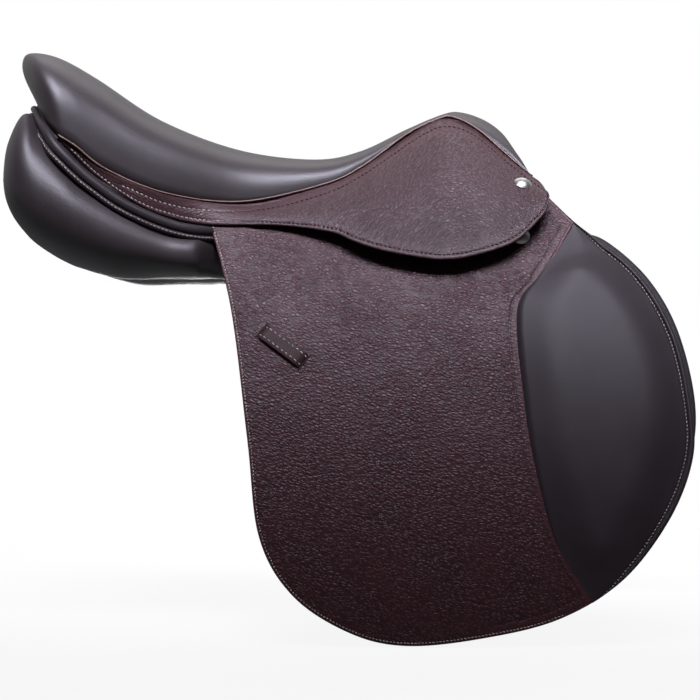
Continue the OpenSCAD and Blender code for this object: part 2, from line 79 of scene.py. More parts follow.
class Choice(Enum):
    """A choice that gives its name to pieces, nodes and bodies."""

    @property
    def label(self) -> str:
        """The name as it is used there."""
        return self.name.lower()


class Side(Choice):
    """The two sides of the saddle, with the sign of Y on each."""

    OFF = -1
    NEAR = 1


class SkirtRow(Choice):
    """The skirt's rows of stitches, with where each begins along the saddle."""

    LOW = -200.0
    TOP = -154.0


class StrapPlace(Choice):
    """The girth straps of one side, with the pitches that each lies ahead of the middle one."""

    FRONT = 1
    MID = 0
    REAR = -1


# Shader expressions


class Sock:
    """A shader socket that can be used in Python expressions.

    Args:
        shader: The shader that owns the socket.
        socket: The output socket.
    """

    def __init__(self, shader: Shader, socket: bpy.types.NodeSocket) -> None:
        """Keeps the socket and its shader."""
        self.shader = shader
        self.socket = socket

    def _maths(self, operation: str, *values: Value) -> Sock:
        """Adds one Math node with these inputs."""
        return self.shader.node("ShaderNodeMath", {"operation": operation}, dict(enumerate(values)))

    def __add__(self, other: Value) -> Sock:
        """self + other"""
        return self._maths("ADD", self, other)

    def __radd__(self, other: Value) -> Sock:
        """other + self"""
        return self._maths("ADD", other, self)

    def __sub__(self, other: Value) -> Sock:
        """self - other"""
        return self._maths("SUBTRACT", self, other)

    def __rsub__(self, other: Value) -> Sock:
        """other - self"""
        return self._maths("SUBTRACT", other, self)

    def __mul__(self, other: Value) -> Sock:
        """self * other"""
        return self._maths("MULTIPLY", self, other)

    def __rmul__(self, other: Value) -> Sock:
        """other * self"""
        return self._maths("MULTIPLY", other, self)

    def wave(self) -> Sock:
        """Cosine of an angle in radians."""
        return self._maths("COSINE", self)

    def axis(self, number: int) -> Sock:
        """One component of a vector."""
        return self.shader.node("ShaderNodeSeparateXYZ", {}, {0: self}, number)

    def between(self, low: float, high: float) -> Sock:
        """0 at low, 1 at high, clamped and eased."""
        sockets = {"Value": self, "From Min": low, "From Max": high}
        return self.shader.node("ShaderNodeMapRange", {"interpolation_type": "SMOOTHSTEP"}, sockets)


class Shader:
    """Node tree of one material, or of the world.

    Args:
        name: The material's or the world's name.
        world: Whether it is the world's.
    """

    def __init__(self, name: str, world: bool = False) -> None:
        """Makes the owner with its first surface node."""
        self.owner = (bpy.data.worlds if world else bpy.data.materials).new(name)
        self.owner.use_nodes = True
        self.tree = self.owner.node_tree
        self.surface = self.tree.nodes["Background" if world else "Principled BSDF"]

    def node(
        self, kind: str, settings: dict[str, object], sockets: dict[object, object], out: Union[str, int] = 0
    ) -> Sock:
        """Adds any node.

        Args:
            kind: The node's type name.
            settings: Its properties, set first.
            sockets: Values or links for its inputs, by name or number.
            out: The output to return.

        Returns:
            The chosen output.
        """
        made = self.tree.nodes.new(kind)
        for key, value in settings.items():
            setattr(made, key, value)
        for key, value in sockets.items():
            self._feed(made.inputs[key], value)
        return Sock(self, made.outputs[out])

    def _feed(self, target: bpy.types.NodeSocket, value: object) -> None:
        """Links or sets one input.

        Args:
            target: The input.
            value: A Sock to link, or a constant.
        """
        if isinstance(value, Sock):
            self.tree.links.new(value.socket, target)
        elif isinstance(value, tuple) and len(value) == 3 and target.type == "RGBA":
            target.default_value = (*value, 1)
        else:
            target.default_value = value

    def set(self, **sockets: object) -> None:
        """Sets the surface node's inputs, with _ for a space in a name."""
        for key, value in sockets.items():
            self._feed(self.surface.inputs[key.replace("_", " ")], value)

    def place(self, by_uv: bool = True) -> Sock:
        """Place in metres, on the leather by the piece's own UV or else in the saddle's frame."""
        return self.node("ShaderNodeTexCoord", {}, {}, "UV" if by_uv else "Object")

    def moved(self, where: Sock, **sockets: Point) -> Sock:
        """Coordinates turned by Rotation or stretched by Scale."""
        return self.node("ShaderNodeMapping", {}, {"Vector": where, **sockets})

    def noise(self, where: Sock, scale: float, detail: float = 3, rough: float = 0.5, out: str = "Fac") -> Sock:
        """Noise of about 0 to 1, with that many features per metre."""
        sockets = {"Vector": where, "Scale": scale, "Detail": detail, "Roughness": rough}
        return self.node("ShaderNodeTexNoise", {}, sockets, out)

    def cells(self, where: Sock, scale: float, feature: str, **sockets: float) -> Sock:
        """Voronoi distance, with that many cells per metre."""
        inputs = {"Vector": where, "Scale": scale, **sockets}
        return self.node("ShaderNodeTexVoronoi", {"feature": feature}, inputs, "Distance")

    def mix(self, share: Value, first: object, second: object) -> Sock:
        """Colour from first (share 0) to second (share 1)."""
        return self.node("ShaderNodeMix", {"data_type": "RGBA"}, {0: share, 6: first, 7: second}, 2)

    def bump(self, height: Sock, depth: float) -> Sock:
        """Normal bent by a height of about 0 to 1, which is depth metres deep."""
        return self.node("ShaderNodeBump", {}, {"Height": height, "Distance": depth, "Strength": 1.0})


@dataclass(frozen=True)
class Finish:
    """A finish that paints a material of its own."""

    name: str

    def paint(self, s: Shader) -> None:
        """Sets the shader's inputs."""
        raise NotImplementedError

    def make(self) -> Material:
        """Builds the material.

        Returns:
            The material.
        """
        s = Shader(self.name)
        self.paint(s)
        return s.owner


@dataclass(frozen=True)
class SmoothCalf(Finish):
    """Smooth, lightly waxed calf with a very fine grain."""

    name: str = "smooth_calf"
    colour: Colour = (0.037, 0.028, 0.032)
    rubbed: Colour = (0.048, 0.036, 0.041)
    roughness: float = 0.47
    gloss: float = 0.42
    by_uv: bool = True
    pore_scale: float = 2200.0
    crease_scale: float = 170.0
    depth: float = 0.00009

    def paint(self, s: Shader) -> None:
        """Paints clouded calf with pores and fine creases.

        Args:
            s: The material's shader.
        """
        where = s.place(self.by_uv)
        cloud = s.noise(where, 14, 4, 0.55)
        pores = s.cells(where, self.pore_scale, "F1")
        creases = s.noise(where, self.crease_scale, 4, 0.62)
        s.set(Base_Color=s.mix(cloud.between(0.35, 0.7), self.colour, self.rubbed))
        s.set(Roughness=self.roughness + 0.10 * (cloud - 0.5) + 0.08 * (creases - 0.5))
        s.set(Normal=s.bump(0.6 * pores + 0.6 * creases, self.depth), Specular_IOR_Level=self.gloss)


@dataclass(frozen=True)
class GrainedHide(Finish):
    """Pebbled cowhide, with shade painted dark into the creases between the pebbles."""

    name: str = "grained_hide"
    pebble: Colour = (0.108, 0.035, 0.041)
    # Painted shade in the creases between the pebbles.
    crease: Colour = (0.030, 0.008, 0.011)
    roughness: float = 0.33
    cell: float = 470.0
    depth: float = 0.0004
    gloss: float = 0.43
    slant: float = 0.42
    stretch: float = 0.56
    wander: float = 0.0022
    pressed: Pair = (0.002, 0.014)

    def paint(self, s: Shader) -> None:
        """Paints slanted, drawn-out pebbles with painted shade in the creases between them, both flattening where
        the leather is pressed at its edge.

        Args:
            s: The material's shader.
        """
        where = s.place()
        drawn = s.moved(s.moved(where, Rotation=(0.0, 0.0, self.slant)), Scale=(self.stretch, 1.0, 1.0))
        wobble = s.noise(where, 240, out="Color")
        push = {0: wobble, 1: (self.wander, self.wander, 0.0), 2: drawn}
        shift = s.node("ShaderNodeVectorMath", {"operation": "MULTIPLY_ADD"}, push)
        dome = 1 - s.cells(shift, self.cell, "SMOOTH_F1", Smoothness=0.3)
        cloud = s.noise(where, 20, 4, 0.6)
        patch = s.noise(where, 120, 3, 0.55)
        inside = s.node("ShaderNodeAttribute", {"attribute_name": "border"}, {}, "Fac").between(*self.pressed)
        pebble = s.cells(shift, self.cell, "DISTANCE_TO_EDGE").between(0.0, 0.30)
        grain_and_shade = (0.5 + 0.5 * inside) * (0.65 + cloud.between(0.3, 0.7) * 0.35)
        # Base colour: the creases between the pebbles are painted dark as shade, less so near the pressed edge.
        s.set(Base_Color=s.mix(1 - (1 - pebble) * grain_and_shade + 0.3 * (cloud - 0.5), self.crease, self.pebble))
        s.set(Roughness=self.roughness + 0.16 * (1 - pebble) + 0.08 * (cloud - 0.5))
        height = (0.5 * pebble + dome + 0.5 * patch) * grain_and_shade
        s.set(Normal=s.bump(height, self.depth), Specular_IOR_Level=self.gloss)


@dataclass(frozen=True)
class Piping(Finish):
    """Thin leather over a cord, with a pale highlight painted along its crest."""

    name: str = "piping"
    # Colour of the pale highlight painted along the crest.
    crest: Colour = (0.30, 0.21, 0.165)
    flank: Colour = (0.034, 0.011, 0.012)
    radius: float = 0.0011
    turn: float = 0.9

    def paint(self, s: Shader) -> None:
        """Paints a pale highlight along the crest, turned outwards and up, over the dark flanks.

        Args:
            s: The material's shader.
        """
        where = s.place()
        # How far each point faces outwards and up, which sets where the painted highlight lies.
        out = (where.axis(1) * (1 / self.radius) - self.turn).wave()
        fine = s.noise(where, 900, 3, 0.6)
        s.set(Base_Color=s.mix((out + 0.5 * (fine - 0.5)).between(0.70, 1.0), self.flank, self.crest))
        s.set(Roughness=0.45 + 0.2 * (fine - 0.5), Normal=s.bump(fine, 0.0001), Specular_IOR_Level=0.35)


@dataclass(frozen=True)
class FadingThread(Finish):
    """Thread that is pale behind and dyed dark in front of a place along the saddle."""

    name: str = "fading_thread"
    pale: Colour = (0.58, 0.52, 0.45)
    dark: Colour = (0.016, 0.007, 0.009)
    fade: Pair = (-0.085, -0.035)

    def paint(self, s: Shader) -> None:
        """Paints the thread from pale to dark.

        Args:
            s: The material's shader.
        """
        fine = s.noise(s.place(), 2600, 3, 0.6)
        dyed = (s.place(False).axis(0) + 0.02 * (fine - 0.5)).between(*self.fade)
        s.set(Base_Color=s.mix(dyed, self.pale, self.dark), Roughness=0.7 + 0.2 * (fine - 0.5))
        s.set(Normal=s.bump(fine, 0.00006), Specular_IOR_Level=0.3)


@dataclass(frozen=True)
class PlainFinish(Finish):
    """Fine-grained finish for cut edges, thread, straps, wood and metal."""

    low: Colour
    high: Colour
    scale: float
    depth: float
    roughness: float
    metallic: float = 0.0
    stretch: Colour = (1.0, 1.0, 1.0)
    by_uv: bool = True

    def paint(self, s: Shader) -> None:
        """Paints fine noise between the two colours.

        Args:
            s: The material's shader.
        """
        where = s.moved(s.place(self.by_uv), Scale=self.stretch)
        cloud = s.noise(where, self.scale / 8, 3, 0.6)
        fine = s.noise(where, self.scale, 4, 0.6)
        s.set(Base_Color=s.mix((0.55 * cloud + 0.45 * fine).between(0.3, 0.7), self.low, self.high))
        s.set(Roughness=self.roughness + 0.14 * (fine - 0.5), Metallic=self.metallic)
        s.set(Normal=s.bump(fine + 0.4 * cloud, self.depth), Specular_IOR_Level=0.4)


LINING = ((0.026, 0.018, 0.021), (0.036, 0.027, 0.030), 0.55, 0.28)
FINISHES: tuple[Finish, ...] = (
    SmoothCalf(),
    SmoothCalf("seat_calf", (0.040, 0.031, 0.033), (0.050, 0.040, 0.043), 0.43, 0.95),
    SmoothCalf("panel_calf", (0.036, 0.026, 0.029), (0.046, 0.034, 0.038), 0.46, 0.9),
    SmoothCalf("lining_calf", *LINING),
    SmoothCalf("lining_calf_place", *LINING, False),
    GrainedHide(),
    # Skirt hide: its second colour is the painted shade in the creases between the pebbles.
    GrainedHide("skirt_grain", (0.110, 0.058, 0.063), (0.044, 0.020, 0.022), 0.32, 480, 0.00045),
    Piping(),
    FadingThread(),
    PlainFinish("keeper_calf", (0.042, 0.015, 0.015), (0.066, 0.027, 0.026), 500, 0.00010, 0.58),
    PlainFinish("dyed_edge", (0.060, 0.022, 0.021), (0.105, 0.046, 0.040), 900, 0.00012, 0.5),
    # Dark colour painted as the shade in the tooled lines and in the keeper's slits.
    PlainFinish("tooled_line", (0.008, 0.003, 0.0035), (0.016, 0.006, 0.007), 900, 0.00005, 0.6),
    PlainFinish("thread", (0.50, 0.44, 0.37), (0.70, 0.64, 0.55), 2600, 0.00006, 0.75, 0, (1, 4, 1)),
    PlainFinish("strap_hide", (0.034, 0.014, 0.012), (0.062, 0.030, 0.026), 420, 0.00014, 0.45),
    PlainFinish("beech", (0.30, 0.18, 0.09), (0.48, 0.32, 0.18), 220, 0.0001, 0.6, 0, (0.15, 1, 1), False),
    PlainFinish("web_cloth", (0.36, 0.30, 0.20), (0.55, 0.47, 0.34), 900, 0.0003, 0.85, 0, (1, 0.3, 1), False),
    PlainFinish("satin_steel", (0.42, 0.42, 0.43), (0.58, 0.58, 0.59), 600, 0.00004, 0.32, 1, (0.1, 1, 1), False),
    PlainFinish("nickel", (0.74, 0.72, 0.69), (0.82, 0.80, 0.76), 300, 0.00001, 0.36, 1, (1, 1, 1), False),
)


# Curves and forms


def spline(points: Sequence[Point], place: float) -> Point:
    """Point on the smooth open curve through points.

    Args:
        points: The curve's points.
        place: 0 at the first point, 1 at the second, and so on.

    Returns:
        The point at that place.
    """
    last = len(points) - 1
    i = max(0, min(int(math.floor(place)), last - 1))
    t = place - i
    a, b, c, d = points[max(i - 1, 0)], points[i], points[i + 1], points[min(i + 2, last)]
    return tuple(
        (2 * q + (r - p) * t + (2 * p - 5 * q + 4 * r - w) * t * t + (3 * q - p - 3 * r + w) * t**3) / 2
        for p, q, r, w in zip(a, b, c, d)
    )


def smooth(points: Sequence[Point], steps: int) -> list[Point]:
    """The smooth curve through points, with that many steps a span."""
    return [spline(points, k / steps) for k in range((len(points) - 1) * steps + 1)]


def part_way(start: Point, end: Point, share: float) -> Pair:
    """Point at a share of the straight way from start to end."""
    return start[0] + (end[0] - start[0]) * share, start[1] + (end[1] - start[1]) * share


def ease(value: float, low: float, high: float) -> float:
    """0 at low, 1 at high, eased between."""
    t = max(0.0, min(1.0, (value - low) / (high - low)))
    return t * t * (3 - 2 * t)


def dent(distance: float, width: float) -> float:
    """Rounded groove, 1 at distance 0 and near 0 beyond width."""
    return math.exp(-((distance / (0.5 * width)) ** 2))


def round_turns(count: int) -> list[float]:
    """Angles of a full turn, with the first again at the end."""
    return [2 * math.pi * k / count for k in range(count + 1)]


def lengths(points: Sequence[Vector]) -> list[float]:
    """Distances along a line.

    Args:
        points: The line's points.

    Returns:
        The distance from its start at each point.
    """
    total = [0.0]
    for a, b in zip(points, points[1:]):
        total.append(total[-1] + (b - a).length)
    return total


@dataclass(frozen=True)
class Barrel:
    """The horse's barrel that the side leathers lie on, in millimetres."""

    radius: float = 668.0
    axis_y: float = 469.995
    axis_z: float = -300.0

    def reach(self, z: float, off: float) -> float:
        """Distance from the centre line at height z, off millimetres out."""
        return math.sqrt((self.radius + off) ** 2 - (z - self.axis_z) ** 2) - self.axis_y

    def point(self, x: float, z: float, off: float, side: Side) -> Vector:
        """Point in metres at x and z, off millimetres out from the sweat flap's inner face."""
        return Vector((x, side.value * self.reach(z, off), z)) * MM

    def normal(self, z: float, off: float, side: Side) -> Vector:
        """Direction out of the barrel at height z."""
        up = (z - self.axis_z) / (self.radius + off)
        return Vector((0, side.value * math.sqrt(1 - up * up), up))

    def flat(self, x: float, z: float) -> Pair:
        """Place on the leather unrolled round the barrel, in metres."""
        return x * MM, self.radius * math.asin((z - self.axis_z) / self.radius) * MM

    @staticmethod
    def flare(x: float) -> float:
        """How far the skirt swings out over the panel behind the seat."""
        start, run, wide = -50, 155, 72
        return wide * ((start - x) / run) ** 1.3 if x < start else 0.0


BARREL = Barrel()


class Form:
    """Mesh under construction, with a flat position in metres at each face corner."""

    def __init__(self) -> None:
        """Starts with no points."""
        self.points: list[Vector] = []
        self.faces: list[tuple[int, ...]] = []
        self.flats: list[Pairs] = []
        self.marks: list[int] = []
        self.borders: list[float] = []

    def grid(
        self,
        rows: Rows,
        flats: Flats,
        mark: int = FACE,
        borders: Sequence[Sequence[float]] = (),
    ) -> None:
        """Adds a sheet of quads.

        Args:
            rows: Points in rows of equal length.
            flats: Flat position of each point.
            mark: Material number.
            borders: Distance of each point to the leather's edge in metres, where it matters.
        """
        far_in = 0.05
        start = len(self.points)
        width = len(rows[0])
        for i, row in enumerate(rows):
            self.points.extend(row)
            self.borders.extend(borders[i] if borders else [far_in] * width)
        for i in range(len(rows) - 1):
            for j in range(width - 1):
                a = start + i * width + j
                self.faces.append((a, a + 1, a + width + 1, a + width))
                self.flats.append((flats[i][j], flats[i][j + 1], flats[i + 1][j + 1], flats[i + 1][j]))
                self.marks.append(mark)

    def shell(
        self,
        outer: Rows,
        inner: Rows,
        flats: Flats,
        marks: tuple[int, int, int] = (FACE, FACE, FACE),
        borders: Sequence[Sequence[float]] = (),
        shifts: Pair = (0.0, 0.0),
    ) -> None:
        """Adds a closed sheet: two faces and the four edges between them.

        Args:
            outer: Rows of the outer face.
            inner: Rows of the inner face.
            flats: Flat position of each point.
            marks: Material numbers of the outer face, the inner face and the edges.
            borders: Distance of each outer point to the leather's edge in metres, where it matters.
            shifts: How far the flat positions move for the inner face and across the edges.
        """

        def moved(line: Sequence[Pair], by: float) -> list[Pair]:
            """Flat positions moved across."""
            return [(u, v + by) for u, v in line]

        self.grid(outer, flats, marks[0], borders)
        self.grid(inner, [moved(line, shifts[0]) for line in flats], marks[1])
        for j in (0, -1):
            end = [line[j] for line in flats]
            self.grid([[row[j] for row in face] for face in (outer, inner)], [end, moved(end, shifts[1])], marks[2])
        for i in (0, -1):
            self.grid([outer[i], inner[i]], [flats[i], moved(flats[i], shifts[1])], marks[2])

    def cushion(self, side: Side, spots: Sequence[Sequence[Point]], floor: float) -> None:
        """Adds a closed pad that lies on the barrel.

        Args:
            side: Which side.
            spots: Rows of places on its face: x, z and distance out.
            floor: Distance out of its back.
        """
        face = [[BARREL.point(x, z, off, side) for x, z, off in row] for row in spots]
        back = [[BARREL.point(x, z, floor, side) for x, z, _ in row] for row in spots]
        self.shell(face, back, [[BARREL.flat(x, z) for x, z, _ in row] for row in spots])

    def build(self, name: str, materials: Materials, weld: float = 1e-5) -> Piece:
        """Makes the object, with equal points joined and normals outwards.

        Args:
            name: The piece's name.
            materials: One for each mark.
            weld: Distance within which points are joined.

        Returns:
            The object.
        """
        mesh = bpy.data.meshes.new(name)
        mesh.from_pydata([tuple(p) for p in self.points], [], self.faces)
        mesh.attributes.new("border", "FLOAT", "POINT").data.foreach_set("value", self.borders)
        corners = [place for face in self.flats for corner in face for place in corner]
        mesh.uv_layers.new(name="flat").data.foreach_set("uv", corners)
        mesh.polygons.foreach_set("material_index", self.marks)
        work = bmesh.new()
        work.from_mesh(mesh)
        bmesh.ops.remove_doubles(work, verts=work.verts, dist=weld)
        bmesh.ops.dissolve_degenerate(work, edges=work.edges, dist=weld / 4)
        bmesh.ops.recalc_face_normals(work, faces=work.faces)
        for face in work.faces:
            face.smooth = True
        work.to_mesh(mesh)
        work.free()
        for material in materials:
            mesh.materials.append(material)
        piece = bpy.data.objects.new(name, mesh)
        bpy.context.scene.collection.objects.link(piece)
        return piece


def tube(name: str, line: Sequence[Vector], radii: Sequence[float], sides: int, materials: Materials) -> Piece:
    """Round bead along a line, with rounded ends.

    Args:
        name: The piece's name.
        line: Middle points in metres.
        radii: Radius at each point in metres.
        sides: Points around.
        materials: Its finish.

    Returns:
        The object.
    """
    run = lengths(line)
    last = len(line) - 1
    turns = round_turns(sides)
    cap = (0.0, 0.5, 0.86)
    sections = [(0, s) for s in cap] + [(i, 1.0) for i in range(last + 1)] + [(last, s) for s in reversed(cap)]
    rows, flats = [], []
    for i, share in sections:
        ahead = (line[min(i + 1, last)] - line[max(i - 1, 0)]).normalized()
        level = ahead.cross(UP).normalized()
        rise = level.cross(ahead)
        push = 0.0 if share == 1.0 else math.sqrt(1 - share * share) * radii[i] * (-1 if i == 0 else 1)
        hub, radius = line[i] + ahead * push, radii[i] * share
        rows.append([hub + radius * (math.cos(t) * level + math.sin(t) * rise) for t in turns])
        flats.append([(run[i] + push, radii[i] * t) for t in turns])
    form = Form()
    form.grid(rows, flats)
    return form.build(name, materials, radii[0] * 1e-3)


@dataclass(frozen=True)
class Stitching:
    """A row of stitches, in millimetres, with each stitch's sections as shares of its size."""

    pitch: float = 3.7
    length: float = 2.7
    width: float = 1.0
    rise: float = 0.32
    slant: float = 0.16
    flatness: float = 0.8
    sections: Points = (
        (-0.5, 0.45, -0.9), (-0.36, 0.9, 0.25), (0.0, 1.0, 1.0), (0.36, 0.9, 0.25), (0.5, 0.45, -0.9))

    def sew(self, name: str, line: Sequence[Vector], normals: Sequence[Vector], materials: Materials) -> Piece:
        """Sews stitches along a line on a surface.

        Args:
            name: The piece's name.
            line: Points on the surface in metres.
            normals: Surface direction at each point.
            materials: The thread.

        Returns:
            One object with every stitch.
        """
        run = lengths(line)
        form = Form()
        count = max(1, int(run[-1] / (self.pitch * MM)))
        step = run[-1] / count
        turns = round_turns(6)
        at = 0
        for n in range(count):
            middle = (n + 0.5) * step
            while at < len(run) - 2 and run[at + 1] < middle:
                at += 1
            share = (middle - run[at]) / max(run[at + 1] - run[at], 1e-9)
            centre = line[at].lerp(line[at + 1], share)
            out = normals[at].lerp(normals[at + 1], share).normalized()
            ahead = (line[at + 1] - line[at]).normalized()
            across = ahead.cross(out).normalized()
            slanted = (ahead + self.slant * across).normalized()
            rows, flats = [], []
            for along, thick, lift in self.sections:
                hub = centre + slanted * (along * self.length * MM) + out * (lift * self.rise * MM)
                radius = 0.5 * self.width * thick * MM
                flat = self.flatness * out
                rows.append([hub + radius * (math.cos(t) * across + math.sin(t) * flat) for t in turns])
                flats.append([(middle + along * self.length * MM, radius * t) for t in turns])
            form.grid(rows, flats)
        return form.build(name, materials, 1e-7)

    def sew_on_barrel(self, name: str, spots: Sequence[Point], side: Side, materials: Materials) -> Piece:
        """Sews stitches over the barrel.

        Args:
            name: The piece's name.
            spots: Places along the row: x, z and distance out.
            side: Which side.
            materials: The thread.

        Returns:
            One object with every stitch.
        """
        line = [BARREL.point(x, z, off, side) for x, z, off in spots]
        normals = [BARREL.normal(z, off, side) for _, z, off in spots]
        return self.sew(name, line, normals, materials)


Face = Callable[[float, float], float]


def rounded(face: float, trim: float, reach: float = 0.6) -> Face:
    """Face of a leather whose edge is trimmed and rounded."""
    return lambda d, x: face - trim * math.exp(-d / reach)


@dataclass
class Cutout:
    """Leather cut to an outline in side view and laid on the barrel.

    The outline runs once round, and every point is joined to the nearest of a few points on a spine inside it.
    """

    outline: list[Pair]
    spine: tuple[Pair, Pair]
    inner_steps: int = 14
    spine_steps: int = 8
    near_edge: Point = (0.0, 0.35, 0.8, 1.4, 2.0, 2.6, 3.2, 4.0, 5.6, 7.4, 9.0, 9.5, 10.6, 11.1, 13.0)
    lines: Point = (9.0, 10.6)
    rear_margin: float = 4.0
    margin_change: Pair = (110, 150)

    def root(self, p: Pair) -> Pair:
        """Nearest of the spine's points to p.

        Args:
            p: A point of the outline.

        Returns:
            The spine's point.
        """
        (ax, az), (bx, bz) = self.spine
        dx, dz = bx - ax, bz - az
        t = max(0.0, min(1.0, ((p[0] - ax) * dx + (p[1] - az) * dz) / (dx * dx + dz * dz)))
        return part_way(*self.spine, round(t * self.spine_steps) / self.spine_steps)

    def inset(self, p: Pair, distance: float) -> Pair:
        """Point at a distance in from outline point p, towards the spine."""
        q = self.root(p)
        return part_way(p, q, min(1.0, distance / max(math.dist(p, q), 1e-6)))

    def distances(self, p: Pair) -> list[float]:
        """Distances of the rings from the edge.

        Args:
            p: A point of the outline.

        Returns:
            The distances from that point inwards.
        """
        length = math.dist(p, self.root(p))
        near = [min(d, 0.5 * length) for d in self.near_edge]
        rest = length - near[-1]
        return near + [near[-1] + rest * k / self.inner_steps for k in range(1, self.inner_steps + 1)]

    def margin(self, x: float) -> float:
        """Share by which the pressed margin's distances count at x, more at the rear than in front."""
        return self.rear_margin - (self.rear_margin - 1) * ease(x, *self.margin_change)

    def build(
        self,
        name: str,
        side: Side,
        faces: tuple[Face, Face],
        materials: Materials,
        tooled: Sequence[int] = (),
    ) -> Piece:
        """Makes the leather with its cut edge.

        Args:
            name: The piece's name.
            side: Which side.
            faces: Distance out of the outer and the inner face, from distance to the edge and x.
            materials: Leather face, then cut edge, then back, then the painted shade of the tooled lines.
            tooled: Outline points along which the lines are tooled.

        Returns:
            The object.
        """
        ring = self.outline + [self.outline[0]]
        spread = [self.distances(p) for p in ring]
        rings = range(len(spread[0]))
        spots = [[self.inset(p, d[k]) for p, d in zip(ring, spread)] for k in rings]
        flats = [[BARREL.flat(x, z) for x, z in line] for line in spots]
        margins = [[d[k] * MM * self.margin(p[0]) for p, d in zip(ring, spread)] for k in rings]
        form = Form()
        edges = []
        for face, mark in zip(faces, (FACE, BACK)):
            rows = [
                [BARREL.point(x, z, face(d[k], x), side) for (x, z), d in zip(spots[k], spread)] for k in rings]
            form.grid(rows, flats, mark, margins)
            edges.append(rows[0])
        # Faces along the tooled lines take the last material, painted dark as the shade in the grooves.
        for k in (k for k, d in enumerate(self.near_edge[:-1]) if d in self.lines):
            for i in tooled:
                form.marks[k * (len(ring) - 1) + i] = TOOLED
        run = lengths(edges[0])
        middle = [a.lerp(b, 0.5) for a, b in zip(*edges)]
        form.grid([edges[0], middle, edges[1]], [[(u, 0.002 * k) for u in run] for k in range(3)], EDGE)
        return form.build(name, materials)

    def declare(self, piece: Piece, rests_on: str) -> None:
        """Args:
            piece: The leather; not used.
            rests_on: What it lies on; not used.
        """
        flat = [BARREL.flat(x, z) for x, z in self.outline]
        wide, high = (max(p[k] for p in flat) - min(p[k] for p in flat) for k in (0, 1))
        area = 0.5 * abs(sum(a[0] * b[1] - b[0] * a[1] for a, b in zip(flat, flat[1:] + flat[:1])))

    def line(self, start: int, stop: int, distance: float) -> list[Pair]:
        """Outline points start to stop, set in by a distance."""
        return [self.inset(self.outline[i], distance) for i in range(start, stop + 1)]


# Sub-assemblies


@dataclass
class Layers:
    """Radial places of the layers, out from the sweat flap's inner face, in millimetres."""

    sweat: float = 3.5
    strap_in: float = 6.1
    strap_out: float = 10.6
    backing_in: float = 13.2
    flap_in: float = 15.2
    flap_out: float = 17.6
    skirt_in: float = 33.6
    skirt_top_in: float = 12.6
    skirt_thick: float = 3.2


LAYERS = Layers()


def settle(piece: Piece, slot: str, *nodes: str, body: str = "saddle") -> Piece:
    """Hides the frame's nodes that a piece replaces and hangs it on the body it rides on.

    Args:
        piece: The piece.
        slot: Not used.
        nodes: The frame's nodes that it replaces.
        body: The body it rides on, or empty for none.

    Returns:
        The same piece.
    """
    if nodes:
        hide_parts(*nodes)
    if body:
        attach(piece, body)
    return piece


@dataclass
class Assembly:
    """Pieces that belong together, and the finishes at hand."""

    finishes: dict[str, Material]

    def wear(self, *names: str) -> list[Material]:
        """The materials of these names."""
        return [self.finishes[name] for name in names]


@dataclass
class SideAssembly(Assembly):
    """Pieces of one side."""

    side: Side

    def named(self, name: str) -> str:
        """Name of a piece, node or body on this side."""
        return f"{name}_{self.side.label}"


